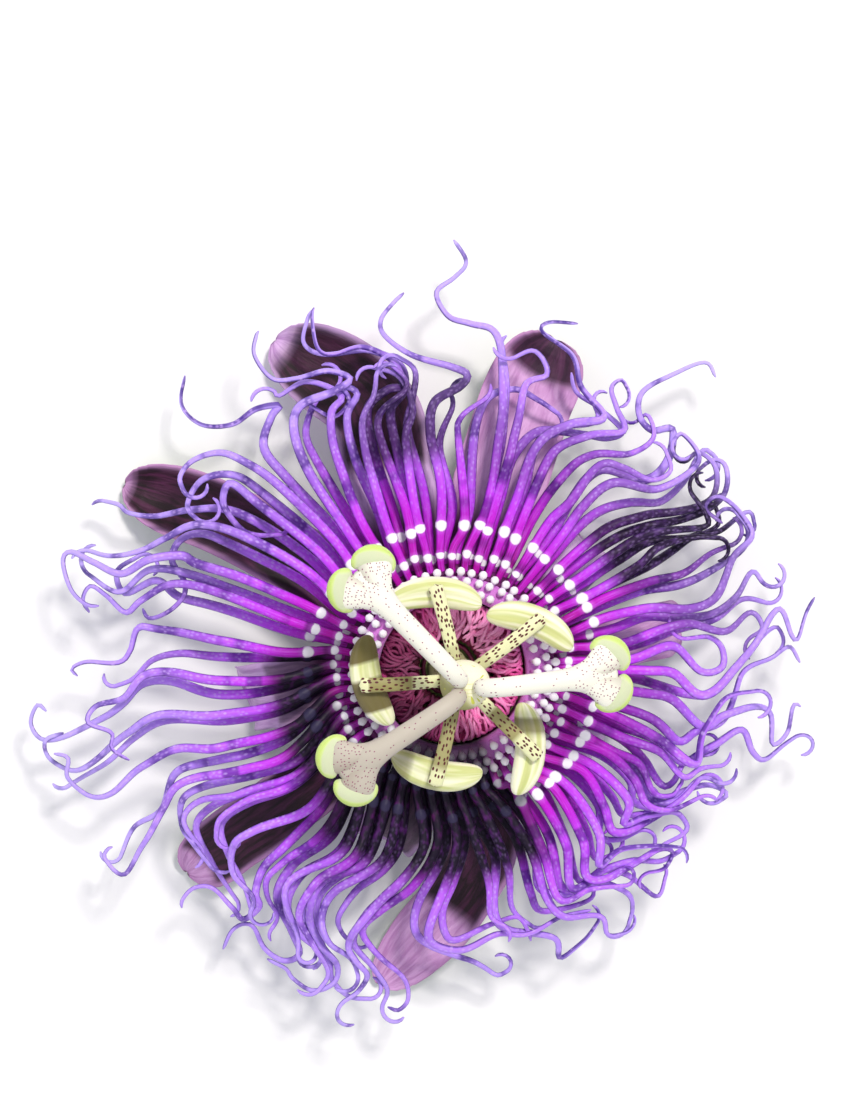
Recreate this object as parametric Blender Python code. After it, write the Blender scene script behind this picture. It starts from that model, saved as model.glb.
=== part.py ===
"""Passion flower with a crimped purple corona, as picked, lying face up on its sepals and petals.

The flower's axis is vertical. Every shape is given in millimetres from the point where that axis
meets the surface the flower lies on, and is scaled to metres when its mesh is made.
"""

import math

import bmesh
import bpy
from mathutils import Vector

MM = 0.001
UP = Vector((0.0, 0.0, 1.0))

# Where the flower's axis stands, measured from the middle of the flower's outline.
AXIS_X = 2.35
AXIS_Y = -4.95

# Receptacle: a shallow cup that carries everything else, as (radius, height) up its outside, over
# its rim and down to the middle of its floor.
CUP_OUTSIDE = [(0.0, 7.5), (3.0, 7.8), (6.5, 9.4), (9.8, 12.0), (11.6, 14.2)]
CUP_RIM = [(11.6, 15.1), (9.6, 15.1)]
CUP_INSIDE = [(8.6, 13.6), (7.6, 12.6), (3.2, 12.4), (0.0, 12.4)]

# Stalk: cut short, bent over and lying on the surface.
STALK_RADIUS = 1.6
STALK_HEADING = 20.0
STALK_STATIONS = 12
STALK_ROUTE = [(0.0, 7.2), (0.3, 5.2), (2.2, 2.9), (6.0, 1.9), (11.0, 1.75), (15.0, 1.8)]

BRACT_HEADINGS = [80.0, 200.0, 320.0]
BRACT_ROUTE = [(2.3, 5.6), (5.0, 6.3), (9.0, 8.3), (11.5, 9.4)]
BRACT_WIDTH = 5.5
BRACT_BASE_WIDTH = 1.6
BRACT_THICKNESS = 0.6
BRACT_RISE = 0.8

# Sepals and petals: the middle line as (x, y, z), the greatest width, and how far the edges stand
# above the middle line at the tip.
SEPALS = {
    "sepal_right": ([(12.0, 1.1, 12.9), (22.0, 3.0, 11.0), (29.0, 3.9, 6.5), (32.3, 4.1, 2.4)], 7.6, 1.2),
    "sepal_top": ([(2.6, 11.7, 12.9), (7.0, 24.0, 10.6), (10.6, 34.0, 6.6), (14.6, 41.2, 2.6)], 12.4, 3.4),
    "sepal_upper_left": (
        [(-10.3, 6.2, 12.9), (-20.0, 14.4, 10.6), (-30.0, 19.8, 6.0), (-41.0, 23.4, 0.8)], 9.6, 2.4
    ),
    "sepal_lower_left": (
        [(-9.1, -7.9, 12.9), (-19.0, -16.2, 10.4), (-27.5, -23.0, 5.6), (-33.3, -28.2, 0.75)], 9.0, 1.8
    ),
    "sepal_bottom": (
        [(4.7, -11.05, 12.9), (5.0, -24.0, 9.8), (1.2, -33.0, 5.4), (-7.6, -44.2, 0.8)], 9.6, 1.2
    ),
}
PETALS = {
    "petal_upper_right": (
        [(9.1, 7.9, 14.3), (14.5, 12.6, 13.2), (18.0, 15.6, 8.0), (19.0, 16.5, 0.13)], 9.0, 0.8
    ),
    "petal_top_left": (
        [(-4.7, 11.1, 14.3), (-7.6, 24.0, 11.2), (-10.0, 34.5, 7.0), (-21.2, 42.2, 0.8)], 12.0, 2.6
    ),
    "petal_left": (
        [(-12.0, -1.05, 14.3), (-19.5, -2.6, 13.2), (-24.4, -4.0, 8.0), (-25.6, -4.4, 0.13)], 9.0, 0.8
    ),
    "petal_lower": (
        [(-2.7, -11.7, 14.3), (-5.6, -18.6, 13.0), (-7.4, -22.8, 8.0), (-8.0, -24.2, 0.14)], 9.0, 0.8
    ),
    "petal_lower_right": (
        [(10.3, -6.2, 14.3), (16.4, -9.9, 13.0), (20.2, -12.2, 8.0), (21.4, -12.9, 0.13)], 9.0, 0.8
    ),
}
BLADE_BASE_WIDTH = 6.0
BLADE_THICKNESS = 0.8
BLADE_STATIONS = 10
# Shares of a blade's length: where it reaches its full width, where its tip starts to round off and
# the length of that rounding; then the edges' rise where the blade is attached.
BLADE_FULL_AT = 0.3
BLADE_ROUND_FROM = 0.72
BLADE_ROUND_LENGTH = 0.31
BLADE_ROOT_RISE = 0.3

# Corona: two tiers of long crimped filaments. The filaments cling together in locks, and each lock
# is one solid: a curved root block with a filament growing out of each of its teeth.
# Each lock: the heading of its root in degrees, then the points (x, y) that its middle passes.
FILAMENTS_PER_LOCK = 4
LOCK_SPREAD = 35.0
UPPER_LOCKS = [
    (0.0, [(24, 0), (32, -3), (40, 3), (48, 8.5)]),
    (36.0, [(20, 14.5), (27, 18.5), (34, 18.5), (39, 20)]),
    (72.0, [(6.5, 22), (10, 29), (16, 31.5), (23, 32)]),
    (108.0, [(-7, 22), (-11, 31), (-10.5, 38), (-14, 44)]),
    (144.0, [(-19, 14.5), (-27, 21), (-35, 25)]),
    (180.0, [(-24, -1), (-34, 0), (-43, -4.5), (-53, -7.5)]),
    (216.0, [(-19, -14), (-28, -18), (-33, -24), (-32, -31)]),
    (252.0, [(-7, -22), (-13, -30), (-15.5, -37), (-14, -43)]),
    (288.0, [(6.5, -22), (10, -29), (16, -32), (24, -31)]),
    (324.0, [(19, -13.5), (24, -18.5), (30, -19.5), (36, -17)]),
]
LOWER_LOCKS = [
    (18.0, [(23, 7.5), (31, 9), (38, 13.5), (41, 20)]),
    (54.0, [(13.5, 19), (19, 25), (26, 28), (31, 35)]),
    (90.0, [(0.5, 24), (1.5, 33), (4, 41), (1.5, 48), (1.0, 55.5)]),
    (126.0, [(-14, 19), (-20, 27), (-25, 32), (-34, 35)]),
    (162.0, [(-22, 8), (-32, 12), (-41, 12), (-49, 14)]),
    (198.0, [(-22, -8), (-33, -11), (-41, -15), (-48, -14.5)]),
    (234.0, [(-14, -19.5), (-20, -27), (-22, -34), (-21, -41)]),
    (270.0, [(-0.5, -23), (-2.5, -31), (-4, -39), (-7.5, -45)]),
    (306.0, [(12, -18), (17, -25), (23, -27), (30, -26)]),
    (342.0, [(23, -7.5), (31, -11), (39, -10), (47, -8)]),
]
# Each tier: root radius inside and outside, underside and top of the root block, the rise of the
# filaments above their root and their fall at full reach.
UPPER_TIER = {"inner": 11.9, "outer": 13.4, "low": 17.1, "high": 18.4, "rise": 2.0, "fall": 5.5}
LOWER_TIER = {"inner": 12.2, "outer": 14.2, "low": 15.4, "high": 16.8, "rise": 0.0, "fall": 7.0}
FILAMENT_WIDTH = 1.5
FILAMENT_TIP = 0.7
FILAMENT_STATIONS = 9
GUIDE_STATIONS = 40
FILAMENT_REACH = 42.0
ARCH_REACHES = 1.4
FALL_POWER = 1.4
TOOTH_GAP = 0.5
ROOT_PITCH = 2.0
TIP_PITCH = 1.5
FILAMENT_LENGTHS = [0.9, 1.0, 0.94, 0.84]

# Short white-tipped filaments inside the long ones.
CLUB_COUNT = 30
CLUB_RING = {"inner": 9.7, "outer": 11.5, "low": 15.4, "high": 19.5}
CLUB_ROUTE = [(12.4, 19.8), (13.6, 20.6)]
CLUB_WIDTH = 1.1

# Turned pieces inside the short filaments, each a closed outline of (radius, height).
FRINGE_PROFILE = [
    (6.0, 12.9), (7.2, 13.1), (9.1, 15.4), (9.4, 15.4), (9.4, 17.8), (7.6, 17.2), (5.8, 15.4)
]
OPERCULUM_PROFILE = [(3.9, 12.7), (5.5, 12.75), (5.5, 15.0), (4.6, 15.4), (3.9, 14.4)]
LIMEN_PROFILE = [(3.0, 12.7), (3.6, 12.7), (3.5, 14.0), (3.1, 14.0)]

# Column in the middle, with stamens and ovary on top.
COLUMN_PROFILE = [
    (0.0, 12.7), (2.6, 12.7), (2.7, 14.0), (2.2, 16.5), (1.9, 21.0), (2.1, 24.6), (2.3, 26.6), (0.0, 26.6)
]
OVARY_PROFILE = [
    (0.0, 26.9), (1.7, 27.2), (2.8, 28.6), (3.15, 30.4), (2.9, 32.0), (2.0, 33.2), (0.0, 33.6)
]
STRAP_ROOT = [(2.6, 25.6), (5.0, 26.3), (9.0, 26.8)]
STRAP_END = 26.4
STRAP_WIDTH = 1.75
STRAP_THICKNESS = 0.8
STRAP_STATIONS = 6
# Each stamen: heading of its filament, reach of the filament, heading of the anther's long axis.
STAMENS = [
    (105.0, 12.4, 178.0),
    (37.0, 13.0, 158.0),
    (315.0, 14.0, 87.0),
    (256.0, 13.6, 167.0),
    (182.0, 12.6, 105.0),
]
ANTHER_LENGTH = 12.2
ANTHER_WIDTH = 4.4
ANTHER_THICKNESS = 2.4
ANTHER_MIDDLE = 24.3
ANTHER_BOW = 1.3
# How far the anther's middle lies inside the end of its filament.
ANTHER_SETBACK = 0.9
# Places along an anther as shares of its length, and its size there as a share of the greatest.
ANTHER_SWELL = [
    (-0.5, 0.35), (-0.42, 0.75), (-0.25, 0.98), (0.0, 1.0), (0.25, 0.98), (0.42, 0.75), (0.5, 0.35)
]
# Each style: its heading and reach. It rises from the ovary, runs out level and dips at its end.
STYLES = [(134.0, 19.4), (5.5, 17.6), (213.0, 18.2)]
STYLE_HEIGHT = 36.4
STYLE_RISE = [(1.6, 33.95), (1.9, 35.4), (4.2, STYLE_HEIGHT), (10.0, STYLE_HEIGHT)]
STYLE_SETBACK = 2.2
STYLE_DIP = 1.0
STYLE_STATIONS = 12
STYLE_WIDTH = 1.8
STYLE_FLARE = 1.9
STYLE_THICKNESS = 1.7
STYLE_THICKENING = 0.3
# Stigma: a bar across the end of the style with a lobe on either side, as (share of the span, width).
STIGMA_SPAN = 7.6
STIGMA_DROP = 1.3
STIGMA_SWELL = [(-0.5, 0.8), (-0.44, 2.6), (-0.28, 3.3), (0.0, 2.1), (0.28, 3.3), (0.44, 2.6), (0.5, 0.8)]

COLOURS = {
    "stalk_green": ((0.20, 0.30, 0.07), 0.6),
    "sepal_lilac": ((0.50, 0.28, 0.52), 0.55),
    "petal_lilac": ((0.60, 0.38, 0.66), 0.5),
    "filament_violet": ((0.33, 0.10, 0.62), 0.45),
    "club_white": ((0.80, 0.68, 0.86), 0.5),
    "fringe_pink": ((0.62, 0.14, 0.38), 0.55),
    "column_cream": ((0.72, 0.74, 0.48), 0.5),
    "anther_yellow": ((0.82, 0.84, 0.56), 0.6),
    "style_ivory": ((0.86, 0.86, 0.78), 0.45),
    "stigma_green": ((0.66, 0.76, 0.40), 0.5),
}


def clear_scene():
    for old in list(bpy.data.objects):
        bpy.data.objects.remove(old)


def material(name):
    found = bpy.data.materials.get(name)
    if found:
        return found
    colour, roughness = COLOURS[name]
    made = bpy.data.materials.new(name)
    made.use_nodes = True
    shader = made.node_tree.nodes["Principled BSDF"]
    shader.inputs["Base Color"].default_value = (*colour, 1.0)
    shader.inputs["Roughness"].default_value = roughness
    shader.inputs["Metallic"].default_value = 0.0
    return made


def add_piece(name, bm, material_name, axis):
    """Makes a mesh in millimetres into an object in metres that hangs on the flower's axis."""
    bmesh.ops.recalc_face_normals(bm, faces=bm.faces)
    bmesh.ops.scale(bm, vec=(MM, MM, MM), verts=bm.verts)
    mesh = bpy.data.meshes.new(name)
    bm.to_mesh(mesh)
    bm.free()
    mesh.materials.append(material(material_name))
    mesh.shade_smooth()
    mesh.set_sharp_from_angle(angle=math.radians(50))
    piece = bpy.data.objects.new(name, mesh)
    piece.parent = axis
    bpy.context.collection.objects.link(piece)
    return piece


def heading_vector(degrees):
    return Vector((math.cos(math.radians(degrees)), math.sin(math.radians(degrees)), 0.0))


def in_plane(heading, points):
    """Points (distance from the axis, height) laid out in the upright plane of a heading."""
    out = heading_vector(heading)
    return [out * distance + UP * height for distance, height in points]


def smooth(points, count):
    """Evenly numbered points on a Catmull-Rom curve through the given ones, ends included."""
    ends = [points[0] * 2 - points[1], *points, points[-1] * 2 - points[-2]]
    spans = len(points) - 1
    made = []
    for step in range(count):
        at = step / (count - 1) * spans
        span = min(int(at), spans - 1)
        t = at - span
        a, b, c, d = ends[span : span + 4]
        made.append(
            0.5 * (2 * b + (c - a) * t + (2 * a - 5 * b + 4 * c - d) * t**2 + (3 * b - a - 3 * c + d) * t**3)
        )
    return made


def tangents(path):
    last = len(path) - 1
    return [(path[min(i + 1, last)] - path[max(i - 1, 0)]).normalized() for i in range(last + 1)]


def skin(bm, rings):
    """Bridges closed rings of vertices into a tube, without ends."""
    for near, far in zip(rings, rings[1:], strict=False):
        for i in range(len(near)):
            j = (i + 1) % len(near)
            bm.faces.new((near[i], near[j], far[j], far[i]))


def loft(rings):
    """A closed solid from rings of points, with a flat cap at each end."""
    bm = bmesh.new()
    made = [[bm.verts.new(point) for point in ring] for ring in rings]
    skin(bm, made)
    bm.faces.new(made[0])
    bm.faces.new(made[-1])
    return bm


def oval(middle, side, up, width, height, sides):
    turns = [2 * math.pi * i / sides for i in range(sides)]
    return [middle + side * (math.cos(a) * width / 2) + up * (math.sin(a) * height / 2) for a in turns]


def tube(path, side, widths, heights, sides):
    """A rod of oval section along a path that lies in the plane across `side`."""
    rings = []
    for point, along, width, height in zip(path, tangents(path), widths, heights, strict=True):
        rings.append(oval(point, side, along.cross(side), width, height, sides))
    return loft(rings)


def turned(profile, steps):
    """A solid of revolution about the flower's axis from points (radius, height)."""
    bm = bmesh.new()
    points = [bm.verts.new((radius, 0.0, height)) for radius, height in profile]
    edges = [bm.edges.new(pair) for pair in zip(points, points[1:], strict=False)]
    if profile[0][0] > 0.0:
        edges.append(bm.edges.new((points[-1], points[0])))
    bmesh.ops.spin(
        bm, geom=[*points, *edges], angle=2 * math.pi, steps=steps, axis=UP, cent=(0, 0, 0), use_merge=True
    )
    bmesh.ops.remove_doubles(bm, verts=bm.verts, dist=1e-4)
    return bm


def blade(route, width, tip_rise, base_width=BLADE_BASE_WIDTH, thickness=BLADE_THICKNESS):
    """A sepal, petal or bract: a strap of channelled section that widens, then rounds off."""
    path = smooth([Vector(point) for point in route], BLADE_STATIONS)
    rings = []
    for i, (point, along) in enumerate(zip(path, tangents(path), strict=True)):
        t = i / (BLADE_STATIONS - 1)
        side = UP.cross(along).normalized()
        up = along.cross(side)
        body = min(1.0, t / BLADE_FULL_AT) ** 0.8
        rounding = math.sqrt(max(0.0, 1.0 - max(0.0, (t - BLADE_ROUND_FROM) / BLADE_ROUND_LENGTH) ** 2))
        half = (base_width + (width - base_width) * body) * rounding / 2
        rise = tip_rise * t * half / (width / 2) + BLADE_ROOT_RISE
        across = [-1.0, -0.6, 0.0, 0.6, 1.0]
        top = [point + side * (half * v) + up * (rise * v * v) for v in across]
        rings.append(top + [corner - up * thickness for corner in reversed(top)])
    return loft(rings)


def filament_height(tier, radius):
    """Height of a tier's filaments at a distance from the axis."""
    reach = max(0.0, (radius - tier["outer"]) / FILAMENT_REACH)
    arch = math.sin(math.pi * min(1.0, reach * ARCH_REACHES))
    return (tier["low"] + tier["high"]) / 2 + tier["rise"] * arch - tier["fall"] * reach**FALL_POWER


def lock_columns(heading, count, spread):
    """Angles of the walls of a root block's teeth: gap, tooth, gap, ... gap."""
    pitch = spread / (count + (count + 1) * TOOTH_GAP)
    angles = [heading - spread / 2]
    for i in range(2 * count + 1):
        angles.append(angles[-1] + (pitch if i % 2 else pitch * TOOTH_GAP))
    return angles


def filament_rings(tier, guide, offset_root, offset_tip, length):
    """Square sections along one filament that runs beside its lock's guide line."""
    path = []
    for i in range(1, FILAMENT_STATIONS + 1):
        t = i / FILAMENT_STATIONS
        at = t * length * (len(guide) - 1)
        low = min(int(at), len(guide) - 2)
        middle = guide[low].lerp(guide[low + 1], at - low)
        along = (guide[low + 1] - guide[low]).normalized()
        beside = UP.cross(along) * (offset_root + (offset_tip - offset_root) * t)
        flat = middle + beside
        path.append(Vector((flat.x, flat.y, filament_height(tier, flat.length))))
    rings = []
    for i, (point, along) in enumerate(zip(path, tangents(path), strict=True)):
        half = (FILAMENT_WIDTH + (FILAMENT_TIP - FILAMENT_WIDTH) * i / (FILAMENT_STATIONS - 1)) / 2
        side = UP.cross(along).normalized() * half
        up = along.cross(side.normalized()) * half
        rings.append([point - side - up, point + side - up, point + side + up, point - side + up])
    return rings


def lock(heading, route, tier):
    """One lock of the corona: a curved root block whose outer teeth run out into filaments."""
    bm = bmesh.new()
    angles = lock_columns(heading, FILAMENTS_PER_LOCK, LOCK_SPREAD)
    walls = []
    for angle in angles:
        out = heading_vector(angle)
        corners = [(tier["inner"], tier["low"]), (tier["outer"], tier["low"])]
        corners += [(tier["outer"], tier["high"]), (tier["inner"], tier["high"])]
        walls.append([bm.verts.new(out * radius + UP * height) for radius, height in corners])
    guide_points = [heading_vector(heading) * tier["outer"]]
    guide_points += [Vector((x, y, 0.0)) for x, y in route]
    guide = smooth(guide_points, GUIDE_STATIONS)
    for i, (near, far) in enumerate(zip(walls, walls[1:], strict=False)):
        for a, b in ((0, 1), (2, 3), (3, 0)):
            bm.faces.new((near[a], near[b], far[b], far[a]))
        tooth = [near[1], far[1], far[2], near[2]]
        if i % 2 == 0:
            bm.faces.new(tooth)
            continue
        number = i // 2
        place = number - (FILAMENTS_PER_LOCK - 1) / 2
        length = FILAMENT_LENGTHS[number]
        rings = filament_rings(tier, guide, place * ROOT_PITCH, place * TIP_PITCH, length)
        made = [tooth] + [[bm.verts.new(point) for point in ring] for ring in rings]
        skin(bm, made)
        bm.faces.new(made[-1])
    bm.faces.new(walls[0])
    bm.faces.new(walls[-1])
    return bm


def club_ring():
    """Ring of short filaments: a band whose outer top edge bears a row of little clubs."""
    bm = bmesh.new()
    steps = 2 * CLUB_COUNT
    band = CLUB_RING
    walls = []
    for i in range(steps):
        out = heading_vector(360.0 * i / steps)
        corners = [(band["inner"], band["low"]), (band["outer"], band["low"])]
        corners += [(band["outer"], band["high"] - CLUB_WIDTH), (band["outer"], band["high"])]
        corners += [(band["inner"], band["high"])]
        walls.append([bm.verts.new(out * radius + UP * height) for radius, height in corners])
    for i, near in enumerate(walls):
        far = walls[(i + 1) % steps]
        for a, b in ((0, 1), (1, 2), (3, 4), (4, 0)):
            bm.faces.new((near[a], near[b], far[b], far[a]))
        root = [near[2], far[2], far[3], near[3]]
        if i % 2:
            bm.faces.new(root)
            continue
        heading = 360.0 * (i + 0.5) / steps
        side = UP.cross(heading_vector(heading)) * (CLUB_WIDTH / 2)
        rings = [root]
        for point in in_plane(heading, CLUB_ROUTE):
            up = Vector((0.0, 0.0, CLUB_WIDTH / 2))
            corners = [point - side - up, point + side - up, point + side + up, point - side + up]
            rings.append([bm.verts.new(corner) for corner in corners])
        skin(bm, rings)
        bm.faces.new(rings[-1])
    return bm


def add_base(axis):
    side = UP.cross(heading_vector(STALK_HEADING))
    path = smooth(in_plane(STALK_HEADING, STALK_ROUTE), STALK_STATIONS)
    width = [2 * STALK_RADIUS] * len(path)
    add_piece("pedicel", tube(path, side, width, width, sides=10), "stalk_green", axis)
    for number, heading in enumerate(BRACT_HEADINGS, start=1):
        route = in_plane(heading, BRACT_ROUTE)
        solid = blade(route, BRACT_WIDTH, BRACT_RISE, BRACT_BASE_WIDTH, BRACT_THICKNESS)
        add_piece(f"bract_{number}", solid, "stalk_green", axis)
    cup = turned(CUP_OUTSIDE + CUP_RIM + CUP_INSIDE, steps=32)
    add_piece("receptacle", cup, "stalk_green", axis)


def add_blades(axis):
    for name, (route, width, tip_rise) in SEPALS.items():
        add_piece(name, blade(route, width, tip_rise), "sepal_lilac", axis)
    for name, (route, width, tip_rise) in PETALS.items():
        add_piece(name, blade(route, width, tip_rise), "petal_lilac", axis)


def add_corona(axis):
    tiers = (("upper", UPPER_TIER, UPPER_LOCKS), ("lower", LOWER_TIER, LOWER_LOCKS))
    for tier_name, tier, locks in tiers:
        for number, (heading, route) in enumerate(locks, start=1):
            name = f"corona_{tier_name}_lock_{number:02d}"
            add_piece(name, lock(heading, route, tier), "filament_violet", axis)
    add_piece("corona_short_filaments", club_ring(), "club_white", axis)
    add_piece("corona_inner_fringe", turned(FRINGE_PROFILE, steps=32), "fringe_pink", axis)
    add_piece("operculum", turned(OPERCULUM_PROFILE, steps=28), "fringe_pink", axis)
    add_piece("limen", turned(LIMEN_PROFILE, steps=24), "fringe_pink", axis)


def add_stamens(axis):
    for number, (heading, reach, anther_heading) in enumerate(STAMENS, start=1):
        side = UP.cross(heading_vector(heading))
        path = smooth(in_plane(heading, [*STRAP_ROOT, (reach, STRAP_END)]), STRAP_STATIONS)
        widths = [STRAP_WIDTH] * STRAP_STATIONS
        heights = [STRAP_THICKNESS] * STRAP_STATIONS
        strap = tube(path, side, widths, heights, sides=6)
        add_piece(f"stamen_filament_{number}", strap, "column_cream", axis)

        middle = heading_vector(heading) * (reach - ANTHER_SETBACK) + UP * ANTHER_MIDDLE
        long_way = heading_vector(anther_heading)
        outward = long_way.cross(UP)
        if outward.dot(middle) < 0:
            outward = -outward
        rings = []
        for at, size in ANTHER_SWELL:
            point = middle + long_way * (at * ANTHER_LENGTH) - outward * (ANTHER_BOW * 4 * at * at)
            rings.append(oval(point, outward, UP, ANTHER_WIDTH * size, ANTHER_THICKNESS * size, sides=8))
        add_piece(f"anther_{number}", loft(rings), "anther_yellow", axis)


def add_pistil(axis):
    add_piece("androgynophore", turned(COLUMN_PROFILE, steps=20), "column_cream", axis)
    add_piece("ovary", turned(OVARY_PROFILE, steps=20), "column_cream", axis)
    last = STYLE_STATIONS - 1
    for number, (heading, reach) in enumerate(STYLES, start=1):
        side = UP.cross(heading_vector(heading))
        route = [*STYLE_RISE, (reach - STYLE_SETBACK, STYLE_HEIGHT - STYLE_DIP)]
        path = smooth(in_plane(heading, route), STYLE_STATIONS)
        widths = [STYLE_WIDTH + STYLE_FLARE * (i / last) ** 2 for i in range(STYLE_STATIONS)]
        heights = [STYLE_THICKNESS + STYLE_THICKENING * i / last for i in range(STYLE_STATIONS)]
        add_piece(f"style_{number}", tube(path, side, widths, heights, sides=8), "style_ivory", axis)

        middle = heading_vector(heading) * reach + UP * (STYLE_HEIGHT - STIGMA_DROP)
        rings = []
        for at, size in STIGMA_SWELL:
            point = middle + side * (at * STIGMA_SPAN)
            rings.append(oval(point, heading_vector(heading), UP, size, size, sides=8))
        add_piece(f"stigma_{number}", loft(rings), "stigma_green", axis)


def build():
    clear_scene()
    axis = bpy.data.objects.new("flower_axis", None)
    bpy.context.collection.objects.link(axis)
    axis.location = (AXIS_X * MM, AXIS_Y * MM, 0.0)
    add_base(axis)
    add_blades(axis)
    add_corona(axis)
    add_stamens(axis)
    add_pistil(axis)


build()
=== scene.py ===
"""Looks of the passion flower: a crimped violet corona over channelled sepals and petals, with
speckled stamens, pale styles and kidney-shaped stigmas in the middle.

Shapes are in millimetres from the foot of the flower's axis, and headings are in degrees,
anticlockwise from +X as seen from above. A texture that is given no coordinates runs over its own
piece's box, and its scale is in repeats over that box.
"""

import math
import random

import bmesh
import bpy
from mathutils import Matrix, Vector


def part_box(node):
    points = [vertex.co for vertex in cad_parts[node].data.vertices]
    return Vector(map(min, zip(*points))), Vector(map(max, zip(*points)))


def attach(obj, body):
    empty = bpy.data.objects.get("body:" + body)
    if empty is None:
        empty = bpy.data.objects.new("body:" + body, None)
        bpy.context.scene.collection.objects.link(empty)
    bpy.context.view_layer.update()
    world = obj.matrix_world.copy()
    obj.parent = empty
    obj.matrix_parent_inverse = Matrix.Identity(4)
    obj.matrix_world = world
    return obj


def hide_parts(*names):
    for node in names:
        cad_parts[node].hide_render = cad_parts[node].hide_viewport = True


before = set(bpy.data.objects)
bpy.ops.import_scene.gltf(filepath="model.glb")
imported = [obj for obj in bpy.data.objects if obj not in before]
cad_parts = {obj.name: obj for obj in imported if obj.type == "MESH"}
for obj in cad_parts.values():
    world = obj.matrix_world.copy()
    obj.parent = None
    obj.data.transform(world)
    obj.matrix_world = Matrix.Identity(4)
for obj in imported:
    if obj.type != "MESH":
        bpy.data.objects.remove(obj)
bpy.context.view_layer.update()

MM = 0.001
UP = Vector((0.0, 0.0, 1.0))
BODY = "root"
COLUMN_LOW, COLUMN_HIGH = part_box("androgynophore")
AXIS = Vector(((COLUMN_LOW.x + COLUMN_HIGH.x) / 2, (COLUMN_LOW.y + COLUMN_HIGH.y) / 2, 0.0))

# ---------------------------------------------------------------- corona sizes and routes

# Each tier: root radius inside and outside, underside and top of its collar, the rise of the
# filaments above their root and their fall at full reach.
UPPER_TIER = {"inner": 11.9, "outer": 13.4, "low": 17.1, "high": 18.4, "rise": 2.0, "fall": 5.5}
LOWER_TIER = {"inner": 12.2, "outer": 14.2, "low": 15.4, "high": 16.8, "rise": 0.0, "fall": 7.0}
FULL_REACH = 42.0
LOCKS_PER_TIER = 10
LOCK_PITCH = 360.0 / LOCKS_PER_TIER
LEVELS = (-1.3, 0.2, 1.4)
COLLAR_GAP = 0.6
COLLAR_STATIONS = 21
COLLAR_END = 0.75

STRAND_WIDTH = 1.32
STRAND_TIP = 0.55
STRAND_ROOT = 0.72
STRAND_FLATNESS = 0.86
STRAND_STEP = 0.5
STRAND_SIDES = 8
CRIMP = 0.55
ROOT_RADIUS = 12.6
STRAIGHT_RADIUS = 16.0
WIDEST_GAP = 4.6
FOLLOWER_POINTS = 7
FOLLOWER_STRAY = 0.7
HOOKLESS_POINTS = 9
TIGHTEST_HOOK = 0.8

# White beads on the filaments of each tier: distance from the axis, half length, share that bear one.
UPPER_BEADS = [(15.5, 0.45, 0.97), (19.2, 0.6, 0.95)]
LOWER_BEADS = [(15.0, 0.42, 0.95), (18.9, 0.5, 0.6)]
BEAD_SWELL = 0.22
FAR_FROM_BEAD = 9.0

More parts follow.
